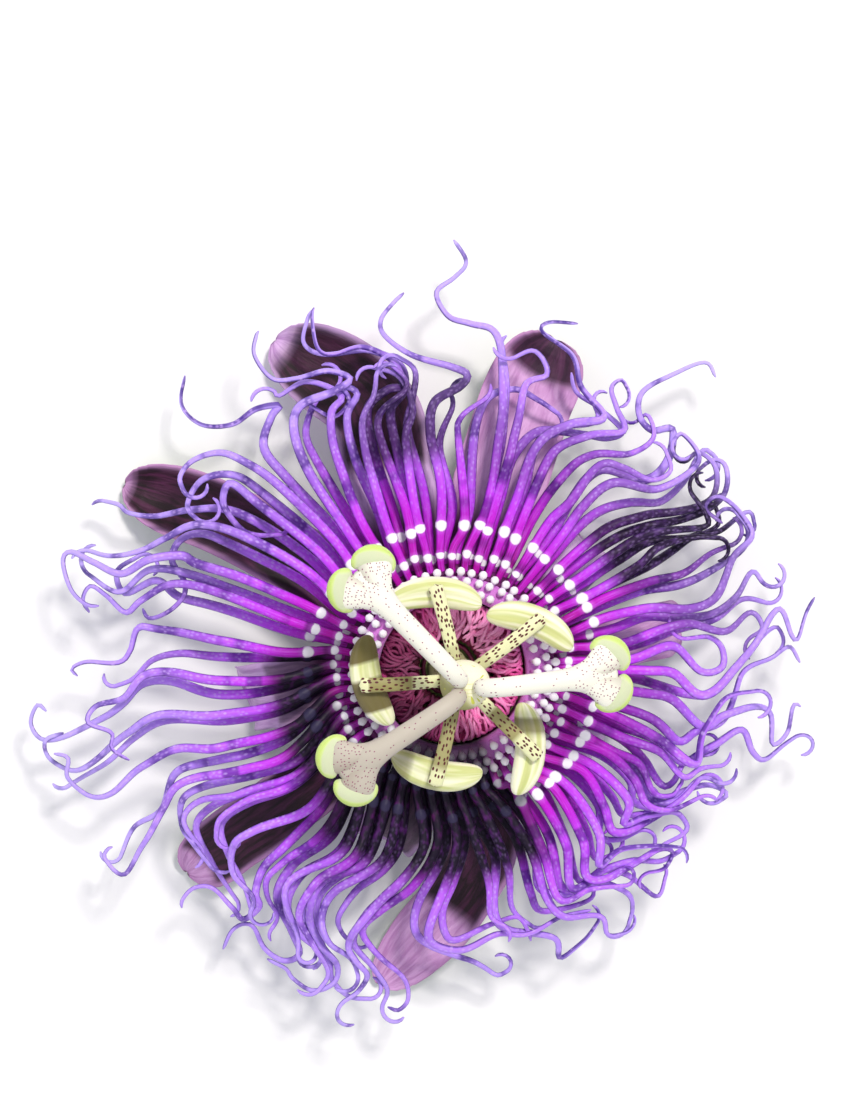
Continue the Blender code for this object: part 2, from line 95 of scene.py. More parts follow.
# One long filament each: the heading of its root, then the points (x, y) it passes.
STRANDS = [
    (90, [(1.5, 20), (0.7, 30), (1.2, 33), (4.5, 35.5)]),
    (86, [(2.5, 21), (3.2, 29), (5, 35), (9, 36.4), (12, 35), (15, 33)]),
    (82, [(4.5, 22), (6.6, 33), (7, 40), (6, 44), (3, 45), (0, 46), (-1.5, 49), (1, 51), (2.5, 53),
          (0.8, 56)]),
    (77, [(5.5, 22), (8, 31), (9.5, 37), (12.5, 38.5), (11, 41.5), (8, 40.5)]),
    (73, [(6.5, 22), (8.5, 28), (12, 31), (18, 30.5), (21, 30), (23, 31), (20, 34), (17, 36), (16.5, 39)]),
    (69, [(8, 22), (11, 29.5), (15.5, 32), (20, 33), (17, 37), (16, 41), (12, 44), (13, 45.2), (17, 45)]),
    (64, [(9.5, 21), (13, 28), (18, 30.5), (23, 31), (22, 34), (21.5, 36.5), (23, 37.6), (24, 36)]),
    (60, [(11, 20), (15, 25.5), (19, 28), (24, 28), (27, 30), (26.5, 33), (24.8, 32)]),
    (56, [(12.5, 19.5), (15, 22), (19, 26.8), (22, 26.5), (26, 24.8), (28.5, 26), (28, 28.6)]),
    (53, [(13, 17), (16, 22), (20, 26), (26, 24.5), (29, 27), (30, 31), (27, 31), (25.3, 33), (26, 36),
          (30, 38.3), (34.7, 39.8), (36, 37.8)]),
    (50, [(14, 17.5), (17, 21.5), (21, 24.5), (27, 23.5), (32, 26), (33, 28), (31, 30.5), (29.6, 29.6)]),
    (46, [(15, 16.5), (19, 20), (24, 21.5), (28.5, 21.5), (31.5, 24), (34.5, 28), (36, 27.5)]),
    (42, [(15.5, 15), (20, 18.4), (25, 20), (30, 20.5), (35, 22), (35.5, 26), (33.5, 28), (31.6, 27)]),
    (38, [(16.5, 13.5), (21, 16.6), (26, 18.6), (31, 19.4), (36.5, 22), (37, 26), (35.5, 27), (33, 25.5)]),
    (35, [(17, 12.5), (21, 15.4), (26, 18), (33, 18.5), (33.5, 20), (31.5, 23)]),
    (31, [(18, 11.5), (22, 14), (27, 16.5), (33, 17), (36, 18.5), (35.6, 21)]),
    (26, [(19, 10), (26, 13), (30, 15), (33, 17), (36.5, 17.6), (40.5, 20), (41.3, 18)]),
    (21, [(19.5, 8), (25, 10), (30, 10.8), (35, 12.6), (39, 15.4), (39.7, 18), (38, 20.5)]),
    (17, [(20, 7), (26, 8.2), (31, 8), (34, 9), (36, 12), (37.5, 15), (39.8, 17.5), (38, 20.5), (35, 22.5),
          (33.3, 21), (35.5, 19)]),
    (13, [(21, 5), (26, 6.6), (30, 6.4), (35, 6.6), (38.5, 9), (41, 12), (42.5, 10.5)]),
    (9, [(22, 3.5), (30, 6), (36, 4.8), (40, 7), (41.5, 5), (40, 3.8)]),
    (6, [(23, 2.6), (30, 4.5), (36, 6), (40, 8.3), (43.5, 7.7)]),
    (3, [(23, 1.4), (29, 3), (33, -0.5), (36, 0), (36, 2.5), (34, 4), (30.5, 4)]),
    (359, [(25, 0), (29, -0.5), (33, -3.5), (38, 0), (43, 6.5), (44.5, 7), (45.5, 4), (46.5, 3.4), (48, 7),
          (49, 9)]),
    (355, [(24, -1.4), (32, -4), (36, -3.5), (40, 1), (44, 4.5), (45.2, 3.5)]),
    (351, [(25, -3), (29, -4), (33.5, -8), (36.5, -6.5), (41, -5.8), (43.5, -7), (43.7, -11), (46, -9.5),
          (47, -6), (48.3, -6.5)]),
    (347, [(22, -5), (27, -7), (30.5, -10), (33, -8.5), (37, -7), (39, -1.5), (43, 0.6), (46, 2),
          (47.7, -0.5)]),
    (343, [(22, -6.3), (27, -9), (32, -12.5), (33, -8), (36, -4), (40.5, -3)]),
    (339, [(22, -7.5), (28, -10), (31.5, -13), (35, -11), (39.5, -9), (41, -12), (43, -13), (47.5, -10)]),
    (334, [(22, -9), (26, -12.5), (28.5, -16), (30, -15.8), (32, -13), (35.5, -12)]),
    (329, [(20, -10.5), (25, -14), (27, -17.6), (30, -17.8), (33.5, -15), (36, -15.6)]),
    (324, [(20, -11.5), (24, -15), (24.6, -18), (28, -18.8), (31, -17), (35, -16.3), (37.5, -17.5),
          (36, -18.6)]),
    (320, [(18.5, -12.5), (23, -17), (22.7, -20.3), (26, -19.3), (29.5, -19), (31.5, -21), (31, -22.3),
          (28, -23.5), (26, -25.5)]),
    (315, [(17, -13), (20, -18), (21.5, -21.5), (26, -20.5), (30, -18), (33.5, -15)]),
    (310, [(15, -15), (19, -21), (19.2, -25.5), (22, -23.5), (26, -23), (30.5, -23.7)]),
    (305, [(13, -15), (17, -22), (18, -27.5), (23, -26.5), (27, -24), (29.5, -24.5), (28.5, -26.5),
          (26, -27)]),
    (300, [(11, -16), (15, -23), (16, -29), (20, -27), (24, -25.5), (28, -26), (30.5, -24.6)]),
    (297, [(9, -16), (13, -22), (14.5, -28.5), (17, -29.5), (20, -27), (24, -28), (28, -31), (29.5, -28)]),
    (292, [(7, -16), (11, -22), (12, -29), (15, -30.3), (20, -29), (24, -30.5), (25, -33), (24.5, -35.5)]),
    (289, [(6, -17), (10, -23), (12.5, -30), (15, -32.6), (20, -33), (21, -35.5), (24, -35.5)]),
    (285, [(5, -17), (9, -23), (11, -30), (13, -33), (19, -31.5), (19.5, -29.8), (18, -29.8)]),
    (280, [(3.5, -20), (6, -25), (5.8, -32), (8, -34.8), (14, -36), (15, -39), (18, -37), (20, -34)]),
    (276, [(2.6, -21), (4.5, -27), (5, -32), (7, -33.6)]),
    (272, [(2, -22), (0.5, -28), (-0.8, -32), (-0.5, -35), (1, -36), (6, -34), (9, -33), (10.5, -35),
          (11, -36.5)]),
    (269, [(0.5, -22), (-1, -28), (-3, -33), (-2.5, -35.8), (1, -36.8), (6, -35), (10, -35), (15, -33),
          (19, -32)]),
    (266, [(-0.5, -23), (-3.4, -30), (-4.4, -34.5), (-2, -37.4), (3, -39.3), (5, -40.5), (7, -41.8),
          (8.5, -41)]),
    (262, [(-2, -22), (-5, -28), (-9, -31), (-11.5, -34), (-10, -37), (-6, -41), (-5.2, -44), (-6.5, -45.5),
          (-8, -45)]),
    (258, [(-3.2, -22.5), (-7, -28.5), (-11, -32), (-12.6, -36), (-10, -39.5), (-8, -42.8), (-8.6, -45.2)]),
    (254, [(-4, -23), (-9, -29), (-12.5, -33), (-13.5, -36), (-12.5, -38), (-11, -40), (-12, -42.5),
          (-14, -43.8)]),
    (250, [(-7, -24), (-12, -29), (-14.5, -32.5), (-14, -35), (-12.2, -37)]),
    (246, [(-9, -24), (-15, -28), (-17, -32), (-16, -35.5), (-13, -38), (-12, -40.6)]),
    (241, [(-11, -24), (-17, -27.5), (-18.5, -32), (-17, -36), (-14.8, -39), (-15, -41.5), (-18, -42.5),
          (-20.5, -41), (-21.5, -39.5), (-24, -38)]),
    (236, [(-12.5, -23), (-18, -27), (-20, -31.5), (-18.2, -35.5), (-16, -39.8), (-17.5, -42.4)]),
    (233, [(-14, -23), (-19.5, -27), (-21.3, -31), (-19.5, -35), (-16, -38), (-15.2, -41.5), (-13, -43.8),
          (-10, -44)]),
    (228, [(-15, -21), (-20.5, -26), (-22.5, -30), (-20.5, -35), (-19.5, -38), (-21.5, -39), (-24, -37.5),
          (-25.5, -34.5), (-27, -34), (-28.5, -35), (-29.5, -37.5)]),
    (224, [(-16, -19.5), (-21.5, -24.5), (-24, -27), (-23.8, -30), (-22.5, -32.5), (-23.5, -34.6)]),
    (221, [(-17, -18), (-22, -23), (-24.5, -26), (-25.5, -29), (-25, -31), (-27, -32.8), (-28.5, -31),
          (-31, -28.5), (-33.5, -28.5), (-35, -30), (-35, -31.5)]),
    (217, [(-18.5, -17), (-26, -20), (-28.5, -22), (-28.5, -26), (-26, -29), (-26.4, -31.4)]),
    (213, [(-20, -14.5), (-26, -17), (-29.8, -20), (-29, -24), (-27, -28), (-26, -31.5)]),
    (208, [(-20, -13.5), (-27, -16), (-31, -18), (-33, -21), (-31, -25.5), (-29, -29), (-27.3, -31.5)]),
    (203, [(-20, -11.5), (-29, -14), (-34.5, -16), (-35, -20), (-33.5, -22.5), (-31, -26)]),
    (199, [(-22, -10.5), (-30, -12.5), (-35.5, -14), (-37.5, -17.5), (-40, -22), (-42.5, -26), (-45, -24),
          (-44.5, -22.7), (-43.7, -22.4)]),
    (195, [(-22, -9), (-30, -11.5), (-35.5, -13), (-37.5, -18), (-41, -20.5), (-43, -24.7)]),
    (191, [(-21, -6.8), (-30, -9.2), (-36, -9.7), (-40, -12), (-44, -15.5), (-47, -16), (-49.7, -13.5),
          (-49.6, -11), (-51.5, -10.5)]),
    (188, [(-22, -5), (-30, -6.5), (-37, -6.5), (-41, -9), (-45, -12.5), (-50, -15.7)]),
    (185, [(-22, -3.6), (-30, -5.2), (-38, -5.5), (-42, -8), (-46, -11.5), (-49, -13), (-52, -11.5),
          (-52.5, -9), (-50, -8)]),
    (181, [(-22, -2), (-30, -2.8), (-36, -1), (-40, -1.5), (-42.5, -4), (-45, -6), (-50, -8.5), (-53, -9),
          (-54.4, -7), (-53.5, -4.5), (-52.3, -5.3)]),
    (178, [(-22, -0.4), (-30, -0.5), (-36, 0.5), (-40, 0), (-42.5, -3), (-46, -4), (-47, -6), (-44, -7.5),
          (-44, -9.5), (-41.5, -11)]),
    (174, [(-22, 2), (-30, 2), (-35, 2.5), (-38.5, 1.5), (-41, -1), (-43.5, -2)]),
    (170, [(-22, 3), (-30, 4.6), (-38, 6), (-40.5, 6), (-41.5, 3), (-43, 1.5), (-47, 1.5), (-49, 0.5),
          (-48, -0.6)]),
    (166, [(-21, 5.4), (-30, 8.4), (-35, 9.6), (-38, 11.8), (-42, 10), (-43, 13), (-40, 15)]),
    (162, [(-21, 7), (-30, 10.6), (-36, 11.6), (-40, 9.5), (-42, 7.8), (-44.5, 10), (-46.5, 11.3),
          (-47.5, 9.5), (-46.5, 7.5)]),
    (157, [(-20, 9.5), (-28, 13), (-33, 14.5), (-35, 15.5), (-39, 15), (-42.5, 13), (-46, 14.5),
          (-49, 15.8), (-50, 14.5), (-49, 11), (-47, 9), (-45, 8.8)]),
    (153, [(-19.5, 12), (-28, 16.4), (-32, 18), (-35, 17), (-36, 14.5), (-34.5, 12), (-34.5, 10),
          (-36.5, 8), (-39, 7), (-40, 8.7)]),
    (149, [(-19, 13.5), (-27, 18), (-33, 19.4), (-37, 17.5), (-40, 16), (-44, 15.3), (-47, 16)]),
    (145, [(-18.5, 15), (-27, 20.4), (-33, 21), (-38, 20), (-41.5, 20.5), (-42.7, 21.5), (-45, 22)]),
    (141, [(-17.5, 16), (-25, 22), (-28.5, 24.6), (-29.4, 22), (-27.5, 19), (-25.5, 18), (-22, 18)]),
    (138, [(-16.5, 16.5), (-24, 23), (-28, 25.6), (-32, 25), (-34, 21.6), (-32.4, 19.6)]),
    (134, [(-15.5, 17.5), (-22.6, 24.6), (-27, 27.6), (-30, 28.6), (-33.4, 27.5), (-35, 25.5),
          (-34.5, 23.5)]),
    (130, [(-15, 18.5), (-21, 25), (-24, 29), (-23, 33), (-22, 34.5), (-25, 34), (-28, 32), (-32, 32),
          (-34.5, 34.5), (-34, 38.5)]),
    (126, [(-14, 19), (-18.5, 26), (-20.3, 31), (-19.5, 34.5), (-15, 36.5), (-13, 38), (-16, 39), (-20, 38),
          (-23, 38), (-25.3, 41), (-25, 43.5), (-24.5, 44.3)]),
    (122, [(-13, 20), (-17, 27), (-18.5, 31), (-17, 35), (-14.6, 36.4)]),
    (118, [(-12, 20), (-15, 28.6), (-15.5, 33.5), (-14, 35.5), (-16, 37), (-19, 37.5), (-22, 35.7),
          (-22.7, 36.7)]),
    (114, [(-9.5, 21), (-12.5, 28), (-13.3, 33), (-12, 36), (-14, 37), (-13, 35), (-15, 33), (-18, 34.5),
          (-19.5, 35.5)]),
    (109, [(-7.5, 21), (-10, 29), (-10.5, 34), (-8, 36.5), (-6, 37), (-7, 40), (-11, 42), (-15, 41),
          (-17, 42), (-17.5, 46), (-17, 47.5)]),
    (104, [(-5.5, 22), (-7, 30), (-7.4, 34), (-5.5, 36.5), (-6, 39.5), (-10, 41.5), (-16, 41),
          (-18.5, 42.5), (-18, 45.5), (-17, 47)]),
    (99, [(-3.4, 23), (-5.5, 31), (-5, 35), (-4.5, 39), (-7, 41)]),
    (95, [(-1.6, 24), (-3, 31), (-2.5, 35), (1, 37), (2, 38.5), (0, 39.5), (-5, 41), (-8.5, 43.5),
          (-9, 45.5), (-7.5, 47.5), (-5.5, 49.3)]),
]

# Where filaments are darkened nearly black, mostly painted shade and in part their own dark banding: headings
# from and to, reach from and to, strength.
SHADES_AND_STAINS = [
    (222, 290, 12.0, 25.5, 1.0),
    (172, 224, 17.5, 22.0, 1.0),
    (94, 112, 30.0, 37.0, 0.85),
    (27, 43, 26.0, 41.0, 0.97),
    (50, 84, 27.0, 33.5, 0.42),
    (112, 142, 29.0, 35.0, 0.2),
    (232, 262, 25.0, 31.0, 0.3),
    (150, 172, 33.0, 37.0, 0.25),
    (330, 358, 24.0, 28.0, 0.4),
    (10, 24, 30.0, 40.0, 0.45),
]
DARK_SOFT_HEADING = 6.0
DARK_SOFT_REACH = 4.0

# ---------------------------------------------------------------- other sizes

# Short filaments and fringe threads: how many, heading of the first, (distance, height) of each route.
CLUB_ROWS = [
    (54, 0.0, [(11.6, 17.6), (12.2, 18.8), (13.0, 19.5), (13.7, 20.1)]),
    (50, 3.0, [(11.1, 17.8), (11.5, 19.0), (12.0, 19.8), (12.5, 20.5)]),
    (46, 1.0, [(10.2, 17.6), (10.3, 18.9), (10.6, 19.9), (11.0, 20.7)]),
]
CLUB_COLLAR = [
    (9.7, 15.4), (11.5, 15.4), (12.7, 17.8), (12.5, 18.7), (11.4, 19.2), (10.2, 19.1), (9.7, 18.2)
]
CLUB_GROUND = 0.5
CLUB_WIDTHS = [0.66, 0.66, 0.66, 0.66, 0.66, 0.748, 1.1, 1.1, 0.528]

FRINGE_ROWS = [
    (146, 0.0, [(9.3, 15.8), (9.2, 17.1), (8.6, 17.9), (7.5, 18.0), (6.5, 17.6)]),
    (128, 2.0, [(8.4, 15.3), (8.1, 16.5), (7.3, 17.2), (6.2, 17.2), (5.2, 16.8)]),
    (104, 1.0, [(7.4, 14.7), (7.0, 15.8), (6.1, 16.4), (5.0, 16.4), (4.1, 15.9)]),
]
FRINGE_COLLAR = [(6.0, 12.9), (7.2, 13.1), (9.1, 15.4), (9.35, 16.2), (8.9, 16.4), (7.4, 15.2), (6.0, 14.3)]
FRINGE_WIDTHS = [0.44, 0.44, 0.418, 0.396, 0.396, 0.418, 0.462, 0.484, 0.264]
FRINGE_LEAN = 1.1
FRINGE_WAVE = 0.45
THREAD_STATIONS = 9

OPERCULUM_PLEATS = 34
OPERCULUM_DEPTH = 0.09
OPERCULUM_PROFILE = [
    (3.95, 12.75), (5.45, 12.8), (5.5, 13.9), (5.3, 15.0), (4.8, 15.35), (4.3, 15.1), (3.95, 14.3)
]
LIMEN_PROFILE = [(3.0, 12.75), (3.6, 12.8), (3.55, 13.7), (3.35, 14.0), (3.1, 13.9), (3.0, 13.4)]

COLUMN_PROFILE = [(2.6, 12.7), (2.7, 14.0), (2.2, 16.5), (1.9, 21.0), (2.05, 24.2), (2.5, 25.6), (2.4, 26.6)]
OVARY_PROFILE = [
    (1.4, 26.95), (2.4, 27.8), (3.05, 29.4), (3.15, 30.6), (2.85, 32.1), (2.2, 33.1), (1.2, 33.55)
]
# How far their freckles' pattern is wrapped to each side, about half a girth.
COLUMN_WRAP = 7.0
OVARY_WRAP = 9.0

# Each stamen: heading and reach of its strap, heading of the anther's long axis, then painted cast shadows
# on the strap and on the anther, each from and to as shares of the length, and how dark.
STAMENS = [
    (105.0, 12.4, 178.0, (0.0, 0.2, 0.3), []),
    (37.0, 13.0, 158.0, (0.0, 0.2, 0.3), []),
    (315.0, 14.0, 87.0, (0.3, 0.56, 0.8), [(0.68, 0.84, 0.75)]),
    (256.0, 13.6, 167.0, (0.0, 0.64, 0.75), [(0.8, 1.1, 0.6), (0.46, 0.58, 0.35)]),
    (182.0, 12.6, 105.0, (0.34, 0.72, 0.85), [(0.2, 0.52, 0.95), (0.74, 1.1, 0.95)]),
]
SHADOW_SOFT = 0.03
STRAP_WIDTH = 1.9
STRAP_THICKNESS = 0.75
STRAP_STATIONS = 30
STRAP_SIDES = 16
# The strap widens along its length from the first of these shares of its width by the second.
STRAP_GROWTH = (0.86, 0.2)
STRAP_BLUNT_FROM = 0.91
ANTHER_LENGTH = 12.0
ANTHER_WIDTH = 4.0
ANTHER_THICKNESS = 2.5
ANTHER_HEIGHT = 24.3
ANTHER_BOW = 1.3
ANTHER_STATIONS = 34
ANTHER_SIDES = 24
ANTHER_SQUARENESS = 3.4
ANTHER_END = 0.04
ANTHER_GROOVE = 0.2
ANTHER_DUSK = 0.06

# Each style: heading, reach, how much painted shade it carries.
STYLES = [(134.0, 19.4, 0.06), (5.5, 17.6, 0.06), (213.0, 18.2, 0.85)]
STYLE_HEIGHT = 36.3
STYLE_WEB = 0.7
STYLE_WIDTH = 2.15
STYLE_THICKNESS = 2.0
STYLE_FLARE = 2.4
STYLE_STATIONS = 40
STYLE_SIDES = 20
# An arm of the fork: (forward from the style's reach, to the side, below the style), its widths where
# it leaves and ends, and how far it splays.
ARM_ROUTE = [(-6.5, 0.3, 0.5), (-3.4, 0.75, 0.45), (-1.2, 1.5, 0.6), (1.1, 3.05, 0.95)]
ARM_ROOT = 2.0
ARM_END = 4.7
ARM_THICKNESS = 2.1
ARM_SPLAY = math.radians(50.0)
ARM_STATIONS = 18
CREASE_SHADE = 0.5
LOBE_LENGTH = 5.6
LOBE_WIDTH = 3.4
LOBE_HEIGHT = 2.6
LOBE_FORWARD = 0.75
LOBE_ASIDE = 2.9
LOBE_DROP = 1.2
LOBE_BEND = 0.7
LOBE_RIM = 0.7
LOBE_STATIONS = 22
LOBE_SIDES = 18

CUP_OUTSIDE = [(3.0, 7.8), (6.5, 9.4), (9.8, 12.0), (11.6, 14.2)]
CUP_RIM = [(11.6, 14.9), (11.3, 15.1), (9.9, 15.1)]
CUP_INSIDE = [(8.6, 13.6), (7.6, 12.6), (3.2, 12.4)]

STALK_WIDTH = 3.2
STALK_HEADING = 20.0
STALK_ROUTE = [(0.0, 7.2), (0.3, 5.2), (2.2, 2.9), (6.0, 1.9), (11.0, 1.75), (15.0, 1.8)]
STALK_STATIONS = 60
BRACT_HEADINGS = [80.0, 200.0, 320.0]
BRACT_ROUTE = [(2.3, 5.6), (5.0, 6.3), (9.0, 8.3), (11.5, 9.4)]
BRACT_WIDTH = 5.5
BRACT_RISE = 0.8

# Each blade: its middle line as (x, y, z), greatest width, how far the edges stand up at the tip,
# how far the very tip is hooded, then where along it the inside carries painted shade and how strongly.
SEPALS = {
    "sepal_right": ([(12.0, 1.1, 12.9), (22.0, 3.0, 11.0), (29.0, 3.9, 6.5), (32.6, 4.1, 2.4)],
                    7.6, 1.2, 0.0, (0.0, 0.3), 0.3),
    "sepal_top": ([(2.6, 11.7, 12.9), (7.0, 24.0, 10.6), (10.6, 34.0, 6.6), (14.8, 41.8, 2.6)],
                  12.4, 3.4, 2.5, (0.86, 1.0), 0.95),
    "sepal_upper_left": ([(-10.3, 6.2, 12.9), (-20.0, 14.4, 10.6), (-30.0, 19.8, 6.0), (-41.4, 23.6, 0.8)],
                         9.6, 2.4, 0.8, (0.0, 0.95), 1.0),
    "sepal_lower_left": ([(-9.1, -7.9, 12.9), (-19.0, -16.2, 10.4), (-27.5, -23.0, 5.6),
                          (-33.7, -28.5, 0.75)],
                         9.0, 1.8, 0.4, (0.0, 0.86), 1.0),
    "sepal_bottom": ([(4.7, -11.05, 12.9), (5.0, -24.0, 9.8), (1.2, -33.0, 5.4), (-7.8, -44.6, 0.8)],
                     9.6, 1.2, 0.3, (0.0, 0.66), 1.0),
}
PETALS = {
    "petal_upper_right": ([(9.1, 7.9, 14.3), (14.5, 12.6, 13.2), (18.0, 15.6, 8.0), (19.0, 16.5, 0.13)],
                          9.0, 0.8, 0.0, (0.0, 0.2), 0.3),
    "petal_top_left": ([(-4.7, 11.1, 14.3), (-7.6, 24.0, 11.2), (-10.0, 34.5, 7.0), (-21.4, 42.5, 0.8)],
                       12.0, 2.6, 0.8, (0.42, 0.93), 1.0),
    "petal_left": ([(-12.0, -1.05, 14.3), (-19.5, -2.6, 13.2), (-24.4, -4.0, 8.0), (-25.6, -4.4, 0.13)],
                   9.0, 0.8, 0.0, (0.0, 0.5), 0.7),
    "petal_lower": ([(-2.7, -11.7, 14.3), (-5.6, -18.6, 13.0), (-7.4, -22.8, 8.0), (-8.0, -24.2, 0.14)],
                    9.0, 0.8, 0.0, (0.0, 0.9), 0.9),
    "petal_lower_right": ([(10.3, -6.2, 14.3), (16.4, -9.9, 13.0), (20.2, -12.2, 8.0), (21.4, -12.9, 0.13)],
                          9.0, 0.8, 0.0, (0.0, 0.3), 0.4),
}
BLADE_BASE = 6.0
BLADE_THICKNESS = 0.8
BLADE_PATH = 160
BLADE_STATIONS = 56
BLADE_COLUMNS = 23
BLADE_RUFFLE = 0.35
PETAL_RUFFLE = 0.5
BLADE_BLUNT_FROM = 0.74
RUFFLE_TURN = 6.28
# How dark the painted shade is at a blade's root, under the corona.
ROOT_SHADE = 0.92

# The stage, in metres: its floor, the height that the lamps and the camera aim at, and the camera's
# distance and the height of its view there.
FLOOR_SIZE = 6.0
LOOKED_AT = 0.015
CAMERA_DISTANCE = 0.4
VIEW_HEIGHT = 0.1438


# ---------------------------------------------------------------- shapes


class Shape:
    """The mesh of one piece as it grows: points in millimetres, faces, and a row of numbers a name."""

    def __init__(self):
        self.points = []
        self.faces = []
        self.values = {}
        self.last = None
        self.tail = {}

    def ring(self, points, **values):
        """Adds points. Each value is one number for them all, or a list of one number a point."""
        first = len(self.points)
        self.points.extend(points)
        for name, value in values.items():
            row = self.values.setdefault(name, [])
            row.extend([0.0] * (first - len(row)))
            row.extend(value if isinstance(value, list) else [value] * len(points))
        return list(range(first, first + len(points)))

    def bridge(self, near, far):
        """Skins the space between two closed rings."""
        for i in range(len(near)):
            j = (i + 1) % len(near)
            self.faces.append((near[i], near[j], far[j], far[i]))

    def close(self, ring, middle, **values):
        """Closes a ring with a fan of faces to a middle point."""
        (peak,) = self.ring([middle], **values)
        for i in range(len(ring)):
            self.faces.append((ring[i], ring[(i + 1) % len(ring)], peak))

    def grow(self, points, middle, at_middle, **values):
        """Adds the next ring of a rod. The first is closed at its middle, and the others join on. A
        middle point has the ring's first numbers, apart from the ones given for it."""
        new = self.ring(points, **values)
        self.tail = {name: value[0] if isinstance(value, list) else value for name, value in values.items()}
        self.tail.update(at_middle)
        if self.last is None:
            self.close(new, middle, **self.tail)
        else:
            self.bridge(self.last, new)
        self.last = new

    def end(self, middle):
        """Closes the rod's far end."""
        self.close(self.last, middle, **self.tail)
        self.last = None

    def piece(self, name, skin, slot, *nodes):
        """Makes the shape into an object that rides on the part and stands for these nodes."""
        mesh = bpy.data.meshes.new(name)
        mesh.from_pydata([point * MM for point in self.points], [], self.faces)
        for label, row in self.values.items():
            row.extend([0.0] * (len(self.points) - len(row)))
            mesh.attributes.new(label, "FLOAT", "POINT").data.foreach_set("value", row)
        bm = bmesh.new()
        bm.from_mesh(mesh)
        bmesh.ops.recalc_face_normals(bm, faces=bm.faces)
        bm.to_mesh(mesh)
        bm.free()
        mesh.shade_smooth()
        mesh.materials.append(skin)
        made = bpy.data.objects.new(name, mesh)
        made.location = AXIS
        bpy.context.collection.objects.link(made)
        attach(made, BODY)
        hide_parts(*nodes)


ROD_MIDDLE = {"across": 0.0, "top": 0.0}


def heading_vector(degrees):
    return Vector((math.cos(math.radians(degrees)), math.sin(math.radians(degrees)), 0.0))


def in_plane(heading, points):
    """Points (distance from the axis, height) laid out in the upright plane of a heading."""
    return [heading_vector(heading) * distance + UP * height for distance, height in points]


def shares(count):
    """Evenly spaced numbers from 0 to 1."""
    return [i / (count - 1) for i in range(count)]


def circle(sides):
    """The cosines and the sines of evenly spaced turns."""
    turns = [2 * math.pi * i / sides for i in range(sides)]
    return [math.cos(turn) for turn in turns], [math.sin(turn) for turn in turns]


def half_turn(degrees):
    """The same heading between -180 and 180."""
    return (degrees + 180.0) % 360.0 - 180.0


def ease(value, start, end):
    """0 before start, 1 after end, and a smooth step between them."""
    t = min(1.0, max(0.0, (value - start) / (end - start)))
    return t * t * (3.0 - 2.0 * t)


def between(value, start, end, soft):
    """1 from start to end, easing to 0 over `soft` on either side."""
    return ease(value, start - soft, start) * (1.0 - ease(value, end, end + soft))


def blunt(place, start, length, least, power=2.0):
    """1 up to start, then rounded off over this length, like the end of a rod."""
    return math.sqrt(max(least, 1.0 - max(0.0, (place - start) / length) ** power))


def smooth(points, count):
    """Evenly numbered points on a Catmull-Rom curve through the given ones, ends included."""
    ends = [points[0] * 2 - points[1], *points, points[-1] * 2 - points[-2]]
    spans = len(points) - 1
    made = []
    for step in range(count):
        at = step / (count - 1) * spans
        span = min(int(at), spans - 1)
        t = at - span
        a, b, c, d = ends[span : span + 4]
        square = (2 * a - 5 * b + 4 * c - d) * t**2
        cube = (3 * b - a - 3 * c + d) * t**3
        made.append(0.5 * (2 * b + (c - a) * t + square + cube))
    return made


def spaced(points, step):
    """The same curve with a point every `step`."""
    made = [points[0]]
    left = step
    for near, far in zip(points, points[1:], strict=False):
        length = (far - near).length
        gone = 0.0
        while length - gone >= left:
            gone += left
            made.append(near.lerp(far, gone / length))
            left = step
        left -= length - gone
    return made


def tangents(path):
    last = len(path) - 1
    return [(path[min(i + 1, last)] - path[max(i - 1, 0)]).normalized() for i in range(last + 1)]


def length_of(path):
    return sum((far - near).length for near, far in zip(path, path[1:], strict=False))


def sweep(shape, path, widths, heights, sides, side, rows=None, **fixed):
    """Skins a closed oval rod round a path. Every point knows how far along the rod it is, in
    millimetres and as a share, how far to the side and how far on top it lies."""
    across, top = circle(sides)
    length = length_of(path)
    along = 0.0
    before = path[0]
    for i, (point, way) in enumerate(zip(path, tangents(path), strict=True)):
        along += (point - before).length
        before = point
        side = (side - way * side.dot(way)).normalized()
        up = way.cross(side)
        placed = [
            point + side * (c * widths[i] / 2) + up * (s * heights[i] / 2)
            for c, s in zip(across, top, strict=True)
        ]
        here = {name: row[i] for name, row in (rows or {}).items()}
        values = {"along": along, "share": along / length, "across": across, "top": top, **fixed, **here}
        shape.grow(placed, point, ROD_MIDDLE, **values)
    shape.end(path[-1] + way * (min(widths[-1], heights[-1]) * 0.3))


def turned(shape, profile, steps, pleat=None, **fixed):
    """A closed ring of revolution from a closed profile of (radius, height)."""
    rings = []
    for i in range(steps):
        heading = 360.0 * i / steps
        swell = pleat(heading) if pleat else 0.0
        points = in_plane(heading, [(radius + swell, height) for radius, height in profile])
        rings.append(shape.ring(points, share=shares(len(profile)), heading=heading / 360.0, **fixed))
    for i, ring in enumerate(rings):
        shape.bridge(ring, rings[(i + 1) % steps])


def capped(shape, profile, steps, rib, **fixed):
    """A ribbed solid of revolution from the bottom to the top of an open profile, closed at its ends."""
    headings = [360.0 * i / steps for i in range(steps)]
    across = circle(steps)[1]
    rings = []
    for (radius, height), share in zip(profile, shares(len(profile)), strict=True):
        points = [
            heading_vector(heading) * (radius * (1.0 + rib(heading))) + UP * height for heading in headings
        ]
        rings.append(shape.ring(points, share=share, along=height, across=across, **fixed))
    for near, far in zip(rings, rings[1:], strict=False):
        shape.bridge(near, far)
    low, high = profile[0][1], profile[-1][1]
    shape.close(rings[0], UP * low, share=0.0, along=low)
    shape.close(rings[-1], UP * (high + 0.15), share=1.0, along=high)


def fine(profile, count):
    """A turned profile with rounded corners: (radius, height) pairs on a smooth curve."""
    return [(p.x, p.z) for p in smooth([Vector((radius, 0.0, height)) for radius, height in profile], count)]


# ---------------------------------------------------------------- materials

